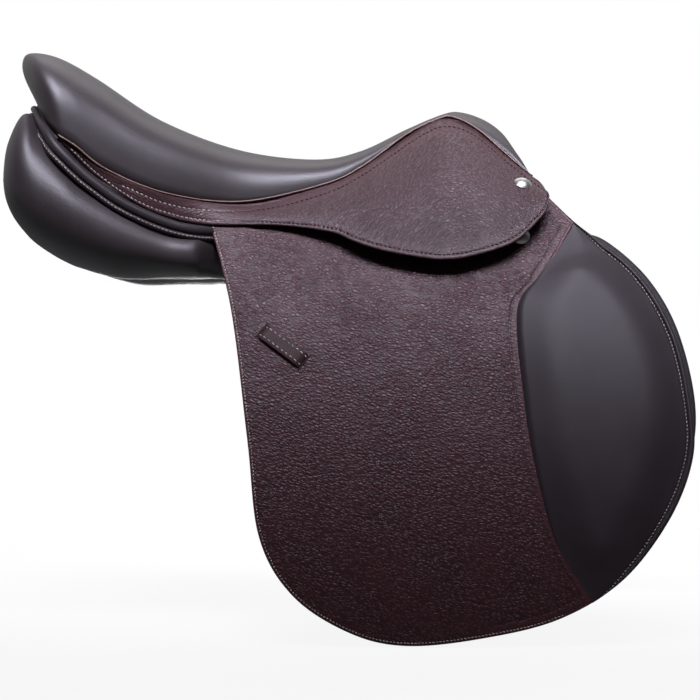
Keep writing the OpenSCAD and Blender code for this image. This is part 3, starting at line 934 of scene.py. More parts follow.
@dataclass
class SeatAssembly(Assembly):
    """Seat leather over its foam, with the piping at its edge.

    Each station holds the middle's x and z, then the edge's x, half width and z.
    """

    stations: Points = (
        (-236, 159, -235, 26, 157), (-246, 182, -228, 78, 153), (-246, 195, -218, 116, 136),
        (-237, 199.5, -205, 136, 121), (-212, 194.5, -190, 138, 111), (-180, 177, -165, 134, 92),
        (-126, 142, -117, 125, 73), (-61, 118, -56, 107, 67), (4, 109.5, 12, 95, 82),
        (45, 117, 45, 84, 98), (85, 136.5, 83, 62, 127), (119, 150.5, 108, 50, 140),
        (133, 152, 122, 48, 143), (151, 146, 144, 60, 131), (165, 135.5, 174, 81, 102),
        (171, 124, 187, 87, 91))
    steps: int = 8
    square: tuple[float, float, float] = (0.57, 0.66, 1.05)
    end_round: float = 0.33
    thin: float = 3.4
    foam: float = 15.0
    foam_from: Pair = (2.5, 6.0)
    rear_stop: float = -140.0
    welt_start: float = -205.0
    welt_radius: float = 1.1
    welt_off: Pair = (1.7, 1.4)

    def arch(self, station: Point, s: float) -> Vector:
        """Point on an arched section.

        Args:
            station: The section's station.
            s: From -1 at the off edge to 1 at the near edge.

        Returns:
            The point in metres.
        """
        a = 0.5 * math.pi * s
        cx, cz, ex, ey, ez = station
        rear, middle, front = self.square
        square = rear + self.end_round * (1 - ease(ex, -232, -195))
        square += (middle - rear) * ease(ex, -110, -40) + (front - middle) * ease(ex, 50, 140)
        bend = 1 - math.cos(a) if ex > cx else math.sin(a) ** 2
        across = ey * math.copysign(abs(math.sin(a)) ** square, s)
        return Vector((cx + (ex - cx) * bend, across, ez + (cz - ez) * max(0.0, math.cos(a)) ** square)) * MM

    def build_cover(self) -> Piece:
        """Seat leather drawn tight over its foam, closed underneath.

        Returns:
            The seat.
        """
        half = 30
        shares = [0.35 * math.sin(0.5 * math.pi * k / half) + 0.65 * k / half for k in range(-half, half + 1)]
        rows = [[self.arch(station, s) for s in shares] for station in smooth(self.stations, self.steps)]
        last = len(rows) - 1
        lows, flats = [], []
        run = 0.0
        for i, row in enumerate(rows):
            fore, aft = rows[min(i + 1, last)], rows[max(i - 1, 0)]
            low = []
            for j, p in enumerate(row):
                across = row[min(j + 1, 2 * half)] - row[max(j - 1, 0)]
                out = (fore[j] - aft[j]).cross(across).normalized()
                pad = self.foam * math.cos(0.5 * math.pi * shares[j]) * ease(i / self.steps, *self.foam_from)
                low.append(p - out * ((self.thin + pad) * MM))
            lows.append(low)
            run += (row[half] - aft[half]).length
            spread = lengths(row)
            flats.append([(run, a - spread[half]) for a in spread])
        form = Form()
        form.shell(rows, lows, flats)
        piece = form.build("seat_leather", self.wear("seat_calf"))
        return settle(piece, "smooth_leather", "seat_cover", "seat_foam")

    def rear_edge(self) -> list[Vector]:
        """Lower edge of the seat round the cantle.

        Returns:
            Its points from the off side to the near side, in metres.
        """
        rear = [st for st in smooth(self.stations, 2 * self.steps) if st[2] < self.rear_stop]
        off, near = ([Vector((st[2], side.value * st[3], st[4])) * MM for st in rear] for side in Side)
        return [*reversed(off), *[self.arch(rear[0], s / 8) for s in range(-7, 8)], *near]

    def build_welt(self, side: Side) -> Piece:
        """Piping along the seat's edge, thinner towards the pommel's end.

        Args:
            side: Which side.

        Returns:
            The piping.
        """
        out, up = self.welt_off
        edge = [st[2:] for st in smooth(self.stations, self.steps) if st[2] > self.welt_start]
        line = [Vector((x, side.value * (y + out), z + up)) * MM for x, y, z in edge]
        radii = [self.welt_radius * MM * (1 - 0.7 * ease(p.x / MM, 172, 188)) for p in line]
        welt = tube(f"piping_{side.label}", line, radii, 12, self.wear("piping"))
        return settle(welt, "welt_leather", f"welt_{side.label}")

    def build(self) -> list[Piece]:
        """Builds the seat and its piping."""
        return [self.build_cover(), *[self.build_welt(side) for side in Side]]


@dataclass
class SkirtAssembly(SideAssembly):
    """Grained skirt from the cantle to the lobe over the stirrup bar.

    Each station holds the top edge's x and z, the lower edge's x and z, and the share of the stand-off.
    """

    stations: Points = (
        (-206, 121, -203, 118, 0.14), (-190, 109, -191, 105, 0.14), (-171, 94, -172, 87, 0.14),
        (-146, 82, -141, 66, 0.16), (-117, 71, -115, 55, 0.18), (-84, 66, -84, 49, 0.22),
        (-39, 66, -25, 48, 0.45), (12, 80, 19, 42, 0.8), (38, 92, 38, 34, 0.95), (63, 109, 63, 26, 1),
        (96, 132.5, 97, 20, 1), (116, 140.5, 114, 19, 1), (138, 134, 135, 22, 1), (163, 111.5, 168, 33, 1),
        (184, 92, 190, 52, 1), (193, 85, 197, 62, 1), (198, 79, 199.5, 72, 1))
    steps: int = 10
    from_low: Point = (0.0, 0.3, 0.8, 1.6, 2.2, 2.8, 3.3, 3.8, 4.3, 4.8, 5.6, 7.0, 9.0)
    top_row: float = 5.2
    tuck: float = 2.4
    curl: float = 3.0
    rear_lean: float = -0.3
    groove: float = 0.34
    groove_wide: float = 2.2
    flat_shifts: Pair = (0.2, 0.003)

    def spot(self, station: Point, v: float, out: float) -> Vector:
        """Point on the skirt.

        Args:
            station: The section's station.
            v: 0 at the top edge, 1 at the lower edge.
            out: Distance out from the inner face.

        Returns:
            The point in metres.
        """
        x, z = part_way(station[:2], station[2:4], v)
        swell = max(0.0, math.sin(0.5 * math.pi * v)) ** 0.7
        stand = LAYERS.skirt_in - LAYERS.skirt_top_in - self.curl * ease(v, 0.3, 1.0)
        off = LAYERS.skirt_top_in + stand * station[4] * swell
        head = BARREL.reach(station[1], LAYERS.skirt_top_in + out) + BARREL.flare(station[0])
        lean = self.rear_lean + (1 - self.rear_lean) * ease(x, -130, -40)
        reach = head + (BARREL.reach(z, off + out) + BARREL.flare(x) - head) * lean
        return Vector((x, self.side.value * reach, z)) * MM

    @staticmethod
    def width(station: Point) -> float:
        """Distance from the top edge to the lower edge in millimetres."""
        return max(math.dist(station[:2], station[2:4]), 1.0)

    @staticmethod
    def low_row(x: float) -> float:
        """Distance of the lower stitches from the edge at x."""
        return 2.4 + 1.1 * ease(x, -200, -100) + 0.7 * ease(x, -20, 60)

    def relief(self, station: Point, v: float, end: float) -> float:
        """Outer face over the inner one: rounded lower edge, drawn in along the stitches.

        Args:
            station: The section's station.
            v: Place from the top edge to the lower edge.
            end: Stations from the nearer end of the skirt.

        Returns:
            The thickness there in millimetres.
        """
        low, high = (1 - v) * self.width(station), v * self.width(station)
        drawn = dent(low - self.low_row(station[2]), self.groove_wide)
        drawn += dent(high - self.top_row, self.groove_wide) * ease(station[0], -160, -150)
        return LAYERS.skirt_thick - 1.1 * math.exp(-max(low, 0) / 0.6) - self.groove * drawn * ease(end, 0.0, 0.4)

    def build_hide(self, stations: Sequence[Point]) -> Piece:
        """The skirt itself, its top edge tucked in behind the piping.

        Args:
            stations: The skirt's sections.

        Returns:
            The skirt.
        """
        upper, middle = 16, 14
        rows, backs, flats, margins = [], [], [], []
        run = 0.0
        for i, st in enumerate(stations):
            wide = self.width(st)
            end = min(i, len(stations) - 1 - i) / self.steps
            near = [min(d / wide, 0.5 * d / self.from_low[-1]) for d in self.from_low]
            lead = -min(self.tuck * ease(st[0], -190, -140) / wide, 0.2)
            span = 1 - near[-1] - lead
            shares = [lead + span * k / upper for k in range(upper)] + [1 - d for d in reversed(near)]
            row = [self.spot(st, v, self.relief(st, v, end)) for v in shares]
            if rows:
                run += (row[middle] - rows[-1][middle]).length
            rows.append(row)
            backs.append([self.spot(st, v, 0.0) for v in shares])
            flats.append([(run, a) for a in lengths(row)])
            margins.append([min(v, 1 - v) * wide * MM for v in shares])
        form = Form()
        form.shell(rows, backs, flats, (FACE, BACK, EDGE), margins, self.flat_shifts)
        skirt = form.build(self.named("skirt_hide"), self.wear("skirt_grain", "dyed_edge", "lining_calf"))
        ends = [flat[-1] for flat in flats]
        area = sum(0.5 * (a + b) * (v - u) for (u, a), (v, b) in zip(ends, ends[1:]))
        self.named("flap_hide")
        return settle(skirt, "grained_leather", self.named("skirt"))

    def sew(self, stations: Sequence[Point], row: SkirtRow, thread: Stitching) -> Piece:
        """One row of stitches on the skirt.

        Args:
            stations: The skirt's sections.
            row: Which row.
            thread: The kind of stitch.

        Returns:
            The row.
        """
        line, outs = [], []
        for behind, st, ahead in zip(stations, stations[1:], stations[2:]):
            wide = self.width(st)
            inset = self.low_row(st[2]) if row is SkirtRow.LOW else self.top_row
            if st[0] < row.value or wide < 1.5 * inset:
                continue
            v = 1 - inset / wide if row is SkirtRow.LOW else inset / wide
            along = self.spot(ahead, v, 0) - self.spot(behind, v, 0)
            out = (self.spot(st, v + 0.02, 0) - self.spot(st, v - 0.02, 0)).cross(along).normalized()
            line.append(self.spot(st, v, LAYERS.skirt_thick - 0.25))
            outs.append(out if out.y * self.side.value > 0 else -out)
        name = self.named(f"skirt_stitches_{row.label}")
        return settle(thread.sew(name, line, outs, self.wear("fading_thread")), "grained_leather")

    def build(self) -> list[Piece]:
        """Builds the skirt and its stitching.

        Returns:
            The pieces.
        """
        stations = smooth(self.stations, self.steps)
        low = self.sew(stations, SkirtRow.LOW, Stitching())
        top = self.sew(stations, SkirtRow.TOP, Stitching(4.1, 2.8))
        return [self.build_hide(stations), low, top]


@dataclass
class FlapAssembly(SideAssembly):
    """Flap with its lining, padded insert, keeper and stitching, on one side."""

    outline: Pairs = (
        (-84, 60), (-62, -20), (-47, -126), (-37, -203), (-10, -249), (35, -278), (80, -288),
        (140, -282), (200, -267), (250, -237), (287, -191), (307, -145), (309, -105), (298, -43),
        (270, 9), (221, 51), (196, 76))
    hide_head: Pairs = ((196, 77), (150, 77), (60, 67), (-84, 61))
    lining_head: Pairs = ((196, 80), (150, 76), (60, 66), (-84, 64))
    insert_top: Pairs = (
        (220.5, 51), (195, 9), (178, -13), (174, -40), (178, -90), (185, -141), (202, -208))
    insert_head: float = 15.2
    insert_foot: float = 8.5
    insert_rise: float = 8.6
    insert_edge_rings: Point = (
        0.0, 0.3, 0.8, 1.6, 2.5, 3.4, 4.2, 4.7, 5.1, 5.5, 6.0, 6.5, 7.1, 8.0, 9.4, 11.4, 14.0, 17.0, 20.0)
    insert_under: float = 5.0
    seam: float = 6.0
    hinge_z: float = 12.0
    hinge_half: float = 9.0
    stitch_in: float = 2.3
    keeper_at: Pair = (-19, -51.5)
    keeper_turn: float = -38.5

    def insert_edge(self) -> list[Pair]:
        """Control points of the grained hide's edge over the insert."""
        return [*self.insert_top, spline(self.outline, self.insert_foot)]

    def hang(self, piece: Piece, slot: str, *nodes: str) -> Piece:
        """Settles a piece of the flap, leaving it on no body, and bakes its placement into its mesh.

        Args:
            piece: The piece.
            slot: Its slot.
            nodes: The frame's nodes that it replaces.

        Returns:
            The same piece.
        """
        settle(piece, slot, *nodes, body="")
        y = self.side.value * BARREL.reach(self.hinge_z, LAYERS.flap_out)
        start, end = (Vector((0, y, self.hinge_z + z)) * MM for z in (self.hinge_half, -self.hinge_half))
        self.named("flap")
        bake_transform(piece)
        return piece

    def build_hide(self) -> list[Piece]:
        """Grained hide, with its stitched rear and lower edge and its cut edge over the insert.

        Returns:
            The hide and its stitches.
        """
        steps = 10
        foot = int(self.insert_foot * steps)
        body = [spline(self.outline, k / steps) for k in range(foot + 1)]
        edge = smooth(self.insert_edge(), steps)
        cut = Cutout(body + edge[::-1][1:] + smooth(self.hide_head, 12)[:-1], ((40, 20), (70, -170)))
        top = rounded(LAYERS.flap_out, 0.9, 0.5)
        tooled = sum(cut.lines) / 2 + 0.2

        def outer(d: float, x: float) -> float:
            """Outer face: rounded at the edge, drawn in along the stitches and the tooled lines."""
            return top(d, x) - 0.3 * dent(d - self.stitch_in, 1.8) - 0.3 * dent(d - tooled, 2.0) * ease(x, 130, 160)

        faces = (outer, rounded(LAYERS.flap_in + 0.05, -0.3, 0.5))
        # The last finish paints the tooled lines dark as shade.
        finish = self.wear("grained_hide", "dyed_edge", "lining_calf", "tooled_line")
        fore = range(foot + 1, foot + len(edge) - 1)
        hide = cut.build(self.named("flap_hide"), self.side, faces, finish, fore)
        cut.declare(hide, self.named("flap_lining"))
        self.hang(hide, "grained_leather", self.named("flap"), self.named("flap_yoke"))
        spots = [(*p, LAYERS.flap_out - 0.2) for p in cut.line(1, foot - 4, self.stitch_in)]
        thread = Stitching(2.8, 2.0, 1.05, 0.34)
        row = thread.sew_on_barrel(self.named("flap_stitches"), spots, self.side, self.wear("thread"))
        return [hide, self.hang(row, "grained_leather")]

    def build_backing(self) -> Piece:
        """Lining of the whole flap.

        Returns:
            The lining.
        """
        cut = Cutout(
            smooth(self.outline, 8) + smooth(self.lining_head, 10)[1:-1], ((60, 20), (120, -150)), inner_steps=10)
        faces = (rounded(LAYERS.flap_in - 0.1, 0.3), rounded(LAYERS.backing_in, -0.5))
        finish = self.wear("lining_calf", "dyed_edge", "lining_calf")
        piece = cut.build(self.named("flap_lining"), self.side, faces, finish)
        cut.declare(piece, self.named("sweat_calf"))
        return self.hang(piece, "smooth_leather", self.named("flap_backing"))

    def insert_height(self, rear: float, front: float, wide: float) -> float:
        """Rise of the insert over its lining.

        Args:
            rear: Distance from the grained hide's edge.
            front: Distance from the front edge.
            wide: Width of the insert there.

        Returns:
            The rise in millimetres.
        """
        bead = 2.4 * math.sqrt(max(0.0, 1 - ((front - 2.5) / 2.6) ** 2)) if front < 5.1 else 0.0
        puff = self.insert_rise * ease(front, 5.6, 44.0) ** 0.7 * ease(rear, -16.0, 34.0) * min(1.0, wide / 70)
        return 0.5 + max(bead, 0.7 + puff) - 0.6 * dent(front - self.seam, 2.0)

    def seam_at(self, share: float) -> float:
        """Distance of the insert's stitches from its front edge, share 0 at its top and 1 at its foot."""
        return self.seam - 3.6 * (1 - ease(share, 0.0, 0.12)) - 1.8 * ease(share, 0.78, 1.0)

    def build_insert(self) -> list[Piece]:
        """Padded insert with its rolled front edge and its row of stitches.

        Returns:
            The insert and its stitches.
        """
        count, across = 110, 18
        edge = self.insert_edge_rings
        rear_edge = self.insert_edge()
        rows, stitches = [], []
        for n in range(count + 1):
            w = n / count
            rear = spline(rear_edge, w * (len(rear_edge) - 1))
            front = spline(self.outline, self.insert_head + (self.insert_foot - self.insert_head) * w)
            wide = max(math.dist(rear, front), 0.5)
            tight = min(1.0, wide / 46) * self.seam_at(w) / self.seam
            fronts = [d * tight for d in edge]
            last = fronts[-1]
            rest = wide + self.insert_under - last
            row = []
            for d in fronts + [last + rest * k / across for k in range(1, across + 1)]:
                rise = self.insert_height(wide - d, d / tight if d < last else d + edge[-1] - last, wide)
                row.append((*part_way(front, rear, d / wide), LAYERS.flap_in + rise))
            rows.append(row)
            if wide > 9:
                rise = self.insert_height(wide, self.seam, wide) + 0.1
                stitches.append((*part_way(front, rear, self.seam * tight / wide), LAYERS.flap_in + rise))
        form = Form()
        form.cushion(self.side, rows, LAYERS.flap_in + 0.02)
        insert = form.build(self.named("insert_calf"), self.wear("smooth_calf"))
        self.hang(insert, "smooth_leather", self.named("flap_insert"))
        thread = Stitching(3.1, 2.1, 0.9, 0.3)
        row = thread.sew_on_barrel(self.named("insert_stitches"), stitches, self.side, self.wear("thread"))
        return [insert, self.hang(row, "smooth_leather")]

    def build_keeper(self) -> list[Piece]:
        """Slanted keeper tucked into two slits, with a row of stitches along each edge.

        Returns:
            The keeper, the dark tubes painted as shade in its slits, and its stitches.
        """
        x, z = self.keeper_at
        middle = BARREL.point(x, z, LAYERS.flap_out, self.side)
        out = BARREL.normal(z, LAYERS.flap_out, self.side)
        fore = Vector((1, 0, 0))
        up = out.cross(fore) * self.side.value
        up = up if up.z > 0 else -up
        turn = math.radians(self.keeper_turn)
        along = math.cos(turn) * fore + math.sin(turn) * up
        across = -math.sin(turn) * fore + math.cos(turn) * up
        half, wide, thick, room, sunk = 22.0, 14.0, 2.4, 1.6, 0.6
        slit_half, slit_radius = 7.4, 0.9
        flap = self.named("flap")

        def spot(u: float, v: float, face: int) -> Vector:
            """Point on the strap.

            Args:
                u: Place along it, from -1 to 1.
                v: Place across it, from -1 to 1.
                face: 1 for its outside, 0 for its inside.

            Returns:
                The point in metres.
            """
            reach = half if face else half - thick
            crest = (room + thick * face) * (1 - abs(u) ** 8)
            soft = 0.5 * abs(v) ** 8 * (1 if face else -1)
            return middle + (along * (u * reach) + across * (v * wide / 2) + out * (crest - soft - sunk)) * MM

        us = [math.copysign(1 - (1 - abs(k) / 24) ** 1.7, k) for k in range(-24, 25)]
        vs = (-1.0, -0.94, -0.85, -0.6, -0.3, 0.0, 0.3, 0.6, 0.85, 0.94, 1.0)
        top, low = ([[spot(u, v, face) for v in vs] for u in us] for face in (1, 0))
        form = Form()
        flats = [[(u * half * MM, v * wide / 2 * MM) for v in vs] for u in us]
        form.shell(top, low, flats, (FACE, BACK, EDGE))
        keeper = form.build(self.named("keeper_hide"), self.wear("keeper_calf", "dyed_edge", "lining_calf"))
        pieces = [settle(keeper, "grained_leather", self.named("strap_keeper"), body=flap)]
        # Each slit is a thin dark tube: painted shade where the keeper's end goes in under the hide.
        for name, place in (("rear", -half - 0.2), ("fore", half + 0.2)):
            shares = (-1, -0.9, -0.5, 0, 0.5, 0.9, 1)
            line = [middle + (along * place + across * (v * slit_half) - out * sunk) * MM for v in shares]
            radii = [slit_radius * MM] * len(line)
            slit_shade = tube(self.named(f"keeper_slit_{name}"), line, radii, 10, self.wear("tooled_line"))
            pieces.append(settle(slit_shade, "grained_leather", body=flap))
        for name, v in (("upper", 0.6), ("lower", -0.6)):
            line = [spot(u, v, 1) for u in us[2:-2]]
            name = self.named(f"keeper_stitches_{name}")
            row = Stitching(4.4, 2.7).sew(name, line, [out] * len(line), self.wear("thread"))
            pieces.append(settle(row, "grained_leather", body=flap))
        return pieces

    def build(self) -> list[Piece]:
        """Builds every piece of the flap."""
        return [*self.build_hide(), self.build_backing(), *self.build_insert(), *self.build_keeper()]


@dataclass
class UnderFlapAssembly(SideAssembly):
    """Sweat flap with its knee and thigh blocks, and the girth straps, on one side."""

    outline: Pairs = (
        (200, 40), (232, 42), (254, 31), (282, 2), (302, -38), (313, -92), (310, -134), (292, -176),
        (262, -214), (214, -246), (140, -262), (70, -264), (10, -246), (-22, -206), (-34, -130), (-46, -50),
        (-58, 18), (-60, 36))
    knee: tuple[Pairs, Pairs] = (
        ((214, -4), (206, -40), (214, -90), (226, -140), (244, -176)),
        ((262, -4), (284, -40), (294, -90), (288, -140), (262, -176)))
    thigh: tuple[Pairs, Pairs] = (
        ((-30, -96), (-28, -120), (-24, -150), (-16, -180)),
        ((-8, -96), (-2, -120), (0, -150), (-4, -180)))
    block_rise: float = 7.5
    strap_x: float = 98.0
    strap_pitch: float = 42.0
    strap_wide: float = 25.0
    strap_top: float = 26.0
    strap_end: float = -222.0
    strap_point: float = 16.0
    strap_bevel: float = 0.5
    bevel_wide: float = 1.2
    stitch_in: float = 3.0
    hole: float = 5.0
    hole_pitch: float = 25.0
    hole_count: int = 7
    first_hole: float = 46.0
    hole_room: float = 11.0

    def build_sheet(self) -> Piece:
        """Sweat flap.

        Returns:
            The leather.
        """
        cut = Cutout(smooth(self.outline, 8), ((60, -20), (140, -130)), inner_steps=10)
        faces = (rounded(LAYERS.sweat, 0.9), rounded(0.0, -0.9))
        finish = self.wear("lining_calf", "dyed_edge", "lining_calf")
        piece = cut.build(self.named("sweat_calf"), self.side, faces, finish)
        cut.declare(piece, self.named("panel_calf"))
        return settle(piece, "smooth_leather", self.named("sweat_flap"))

    def build_block(self, name: str, edges: tuple[Pairs, Pairs]) -> Piece:
        """Pad between a rear and a front edge.

        Args:
            name: Node name without the side.
            edges: Rear and front edge points.

        Returns:
            The pad.
        """
        rear, front = (smooth(edge, 10) for edge in edges)
        last, across = len(rear) - 1, 24
        rows = []
        for i in range(last + 1):
            swell = 0.15 + 0.85 * math.sin(math.pi * i / last) ** 0.5
            row = []
            for k in range(across + 1):
                rise = 0.4 + self.block_rise * swell * math.sin(math.pi * k / across) ** 0.5
                row.append((*part_way(rear[i], front[i], k / across), LAYERS.sweat + rise))
            rows.append(row)
        form = Form()
        form.cushion(self.side, rows, LAYERS.sweat + 0.05)
        piece = form.build(self.named(f"{name}_calf"), self.wear("smooth_calf"))
        return settle(piece, "block_foam", self.named(name))

    def build_strap(self, place: StrapPlace) -> list[Piece]:
        """Girth strap with rounded edges, punched holes, a pointed end and edge stitching.

        Args:
            place: Which strap.

        Returns:
            The strap and its stitches.
        """
        x = self.strap_x + place.value * self.strap_pitch
        r = self.strap_wide / 2
        rim = self.hole / 2
        head, tip = self.strap_top - r, self.strap_end
        shoulder = tip + self.strap_point
        holes = [tip + self.first_hole + k * self.hole_pitch for k in range(self.hole_count)]
        stops = sorted((h + s * self.hole_room for h in holes for s in (-1, 1)), reverse=True)
        columns = (-1, -0.96, -0.9, -0.6, -0.25, 0, 0.25, 0.6, 0.9, 0.96, 1)
        form = Form()

        def skin(spots: Flats) -> None:
            """Adds the outer and the inner face of one patch.

            Args:
                spots: Rows of places on it.
            """
            flats = [[BARREL.flat(px, pz) for px, pz in line] for line in spots]
            for face, bevel, mark in (
                (LAYERS.strap_out, self.strap_bevel, FACE), (LAYERS.strap_in, -self.strap_bevel, BACK)
            ):
                rows = []
                for line in spots:
                    offs = [face - bevel * ease(abs(px - x), r - self.bevel_wide, r) for px, _ in line]
                    rows.append([BARREL.point(px, pz, off, self.side) for (px, pz), off in zip(line, offs)])
                form.grid(rows, flats, mark)

        def flank(line: Sequence[Pair], bevel: float) -> None:
            """Adds the wall between the faces.

            Args:
                line: Places along it.
                bevel: How far its rims are trimmed.
            """
            offs = (LAYERS.strap_out - bevel, LAYERS.strap_in + bevel)
            rows = [[BARREL.point(px, pz, off, self.side) for px, pz in line] for off in offs]
            form.grid(rows, [[(u, v) for u in lengths(rows[0])] for v in (0, 0.004)], EDGE)

        def arc(radius: float, count: int) -> list[Pair]:
            """Places round the strap's head, from its rear to its front."""
            turns = [math.pi * k / count for k in range(count, -1, -1)]
            return [(x + radius * math.cos(a), head + radius * math.sin(a)) for a in turns]

        rises = [r * math.sin(0.5 * math.pi * k / 8) for k in range(8, -1, -1)]
        skin([[(x + c * math.sqrt(max(r * r - t * t, 0)), head + t) for c in columns] for t in rises])
        turns = round_turns(32)
        for upper, lower in zip([head, *stops], [*stops, shoulder]):
            middle, high = (upper + lower) / 2, (upper - lower) / 2
            if not any(lower < h < upper for h in holes):
                skin([[(x + c * r, upper + (lower - upper) * k / 4) for c in columns] for k in range(5)])
                continue
            rings = []
            for share in (0, 0.12, 0.35, 0.7, 0.93, 1):
                border = [1 / max(abs(math.cos(t)) / r, abs(math.sin(t)) / high) for t in turns]
                reach = [rim + (b - rim) * share for b in border]
                rings.append([(x + math.cos(t) * d, middle + math.sin(t) * d) for t, d in zip(turns, reach)])
            skin(rings)
            flank(rings[0], 0.0)
        skin([[(x + c * r * (1 - k / 8), shoulder - self.strap_point * k / 8) for c in columns] for k in range(9)])
        flank(arc(r, 24) + [(x + r, shoulder), (x, tip), (x - r, shoulder), (x - r, head)], self.strap_bevel)
        name = self.named(f"girth_strap_hide_{place.label}")
        body = self.named(f"strap_{place.label}")
        strap = form.build(name, self.wear("strap_hide", "dyed_edge", "strap_hide"), 2e-5)
        settle(strap, "strap_leather", self.named(f"girth_strap_{place.label}"), body=body)
        step, start = 6, tip + 20
        rear = [(x - r + self.stitch_in, start + k * step) for k in range(int((head - start) / step) + 1)]
        front = [(2 * x - px, pz) for px, pz in reversed(rear)]
        seam = rear + arc(r - self.stitch_in, 12) + front
        spots = [(*p, LAYERS.strap_out - 0.05) for p in seam]
        name = self.named(f"girth_strap_stitches_{place.label}")
        row = Stitching().sew_on_barrel(name, spots, self.side, self.wear("thread"))
        return [strap, settle(row, "strap_leather", body=body)]

    def build(self) -> list[Piece]:
        """Builds the sheet, the blocks and the straps.

        Returns:
            The pieces.
        """
        pieces = [self.build_sheet()]
        pieces += [self.build_block("knee_block", self.knee), self.build_block("thigh_block", self.thigh)]
        for place in StrapPlace:
            pieces += self.build_strap(place)
        return pieces


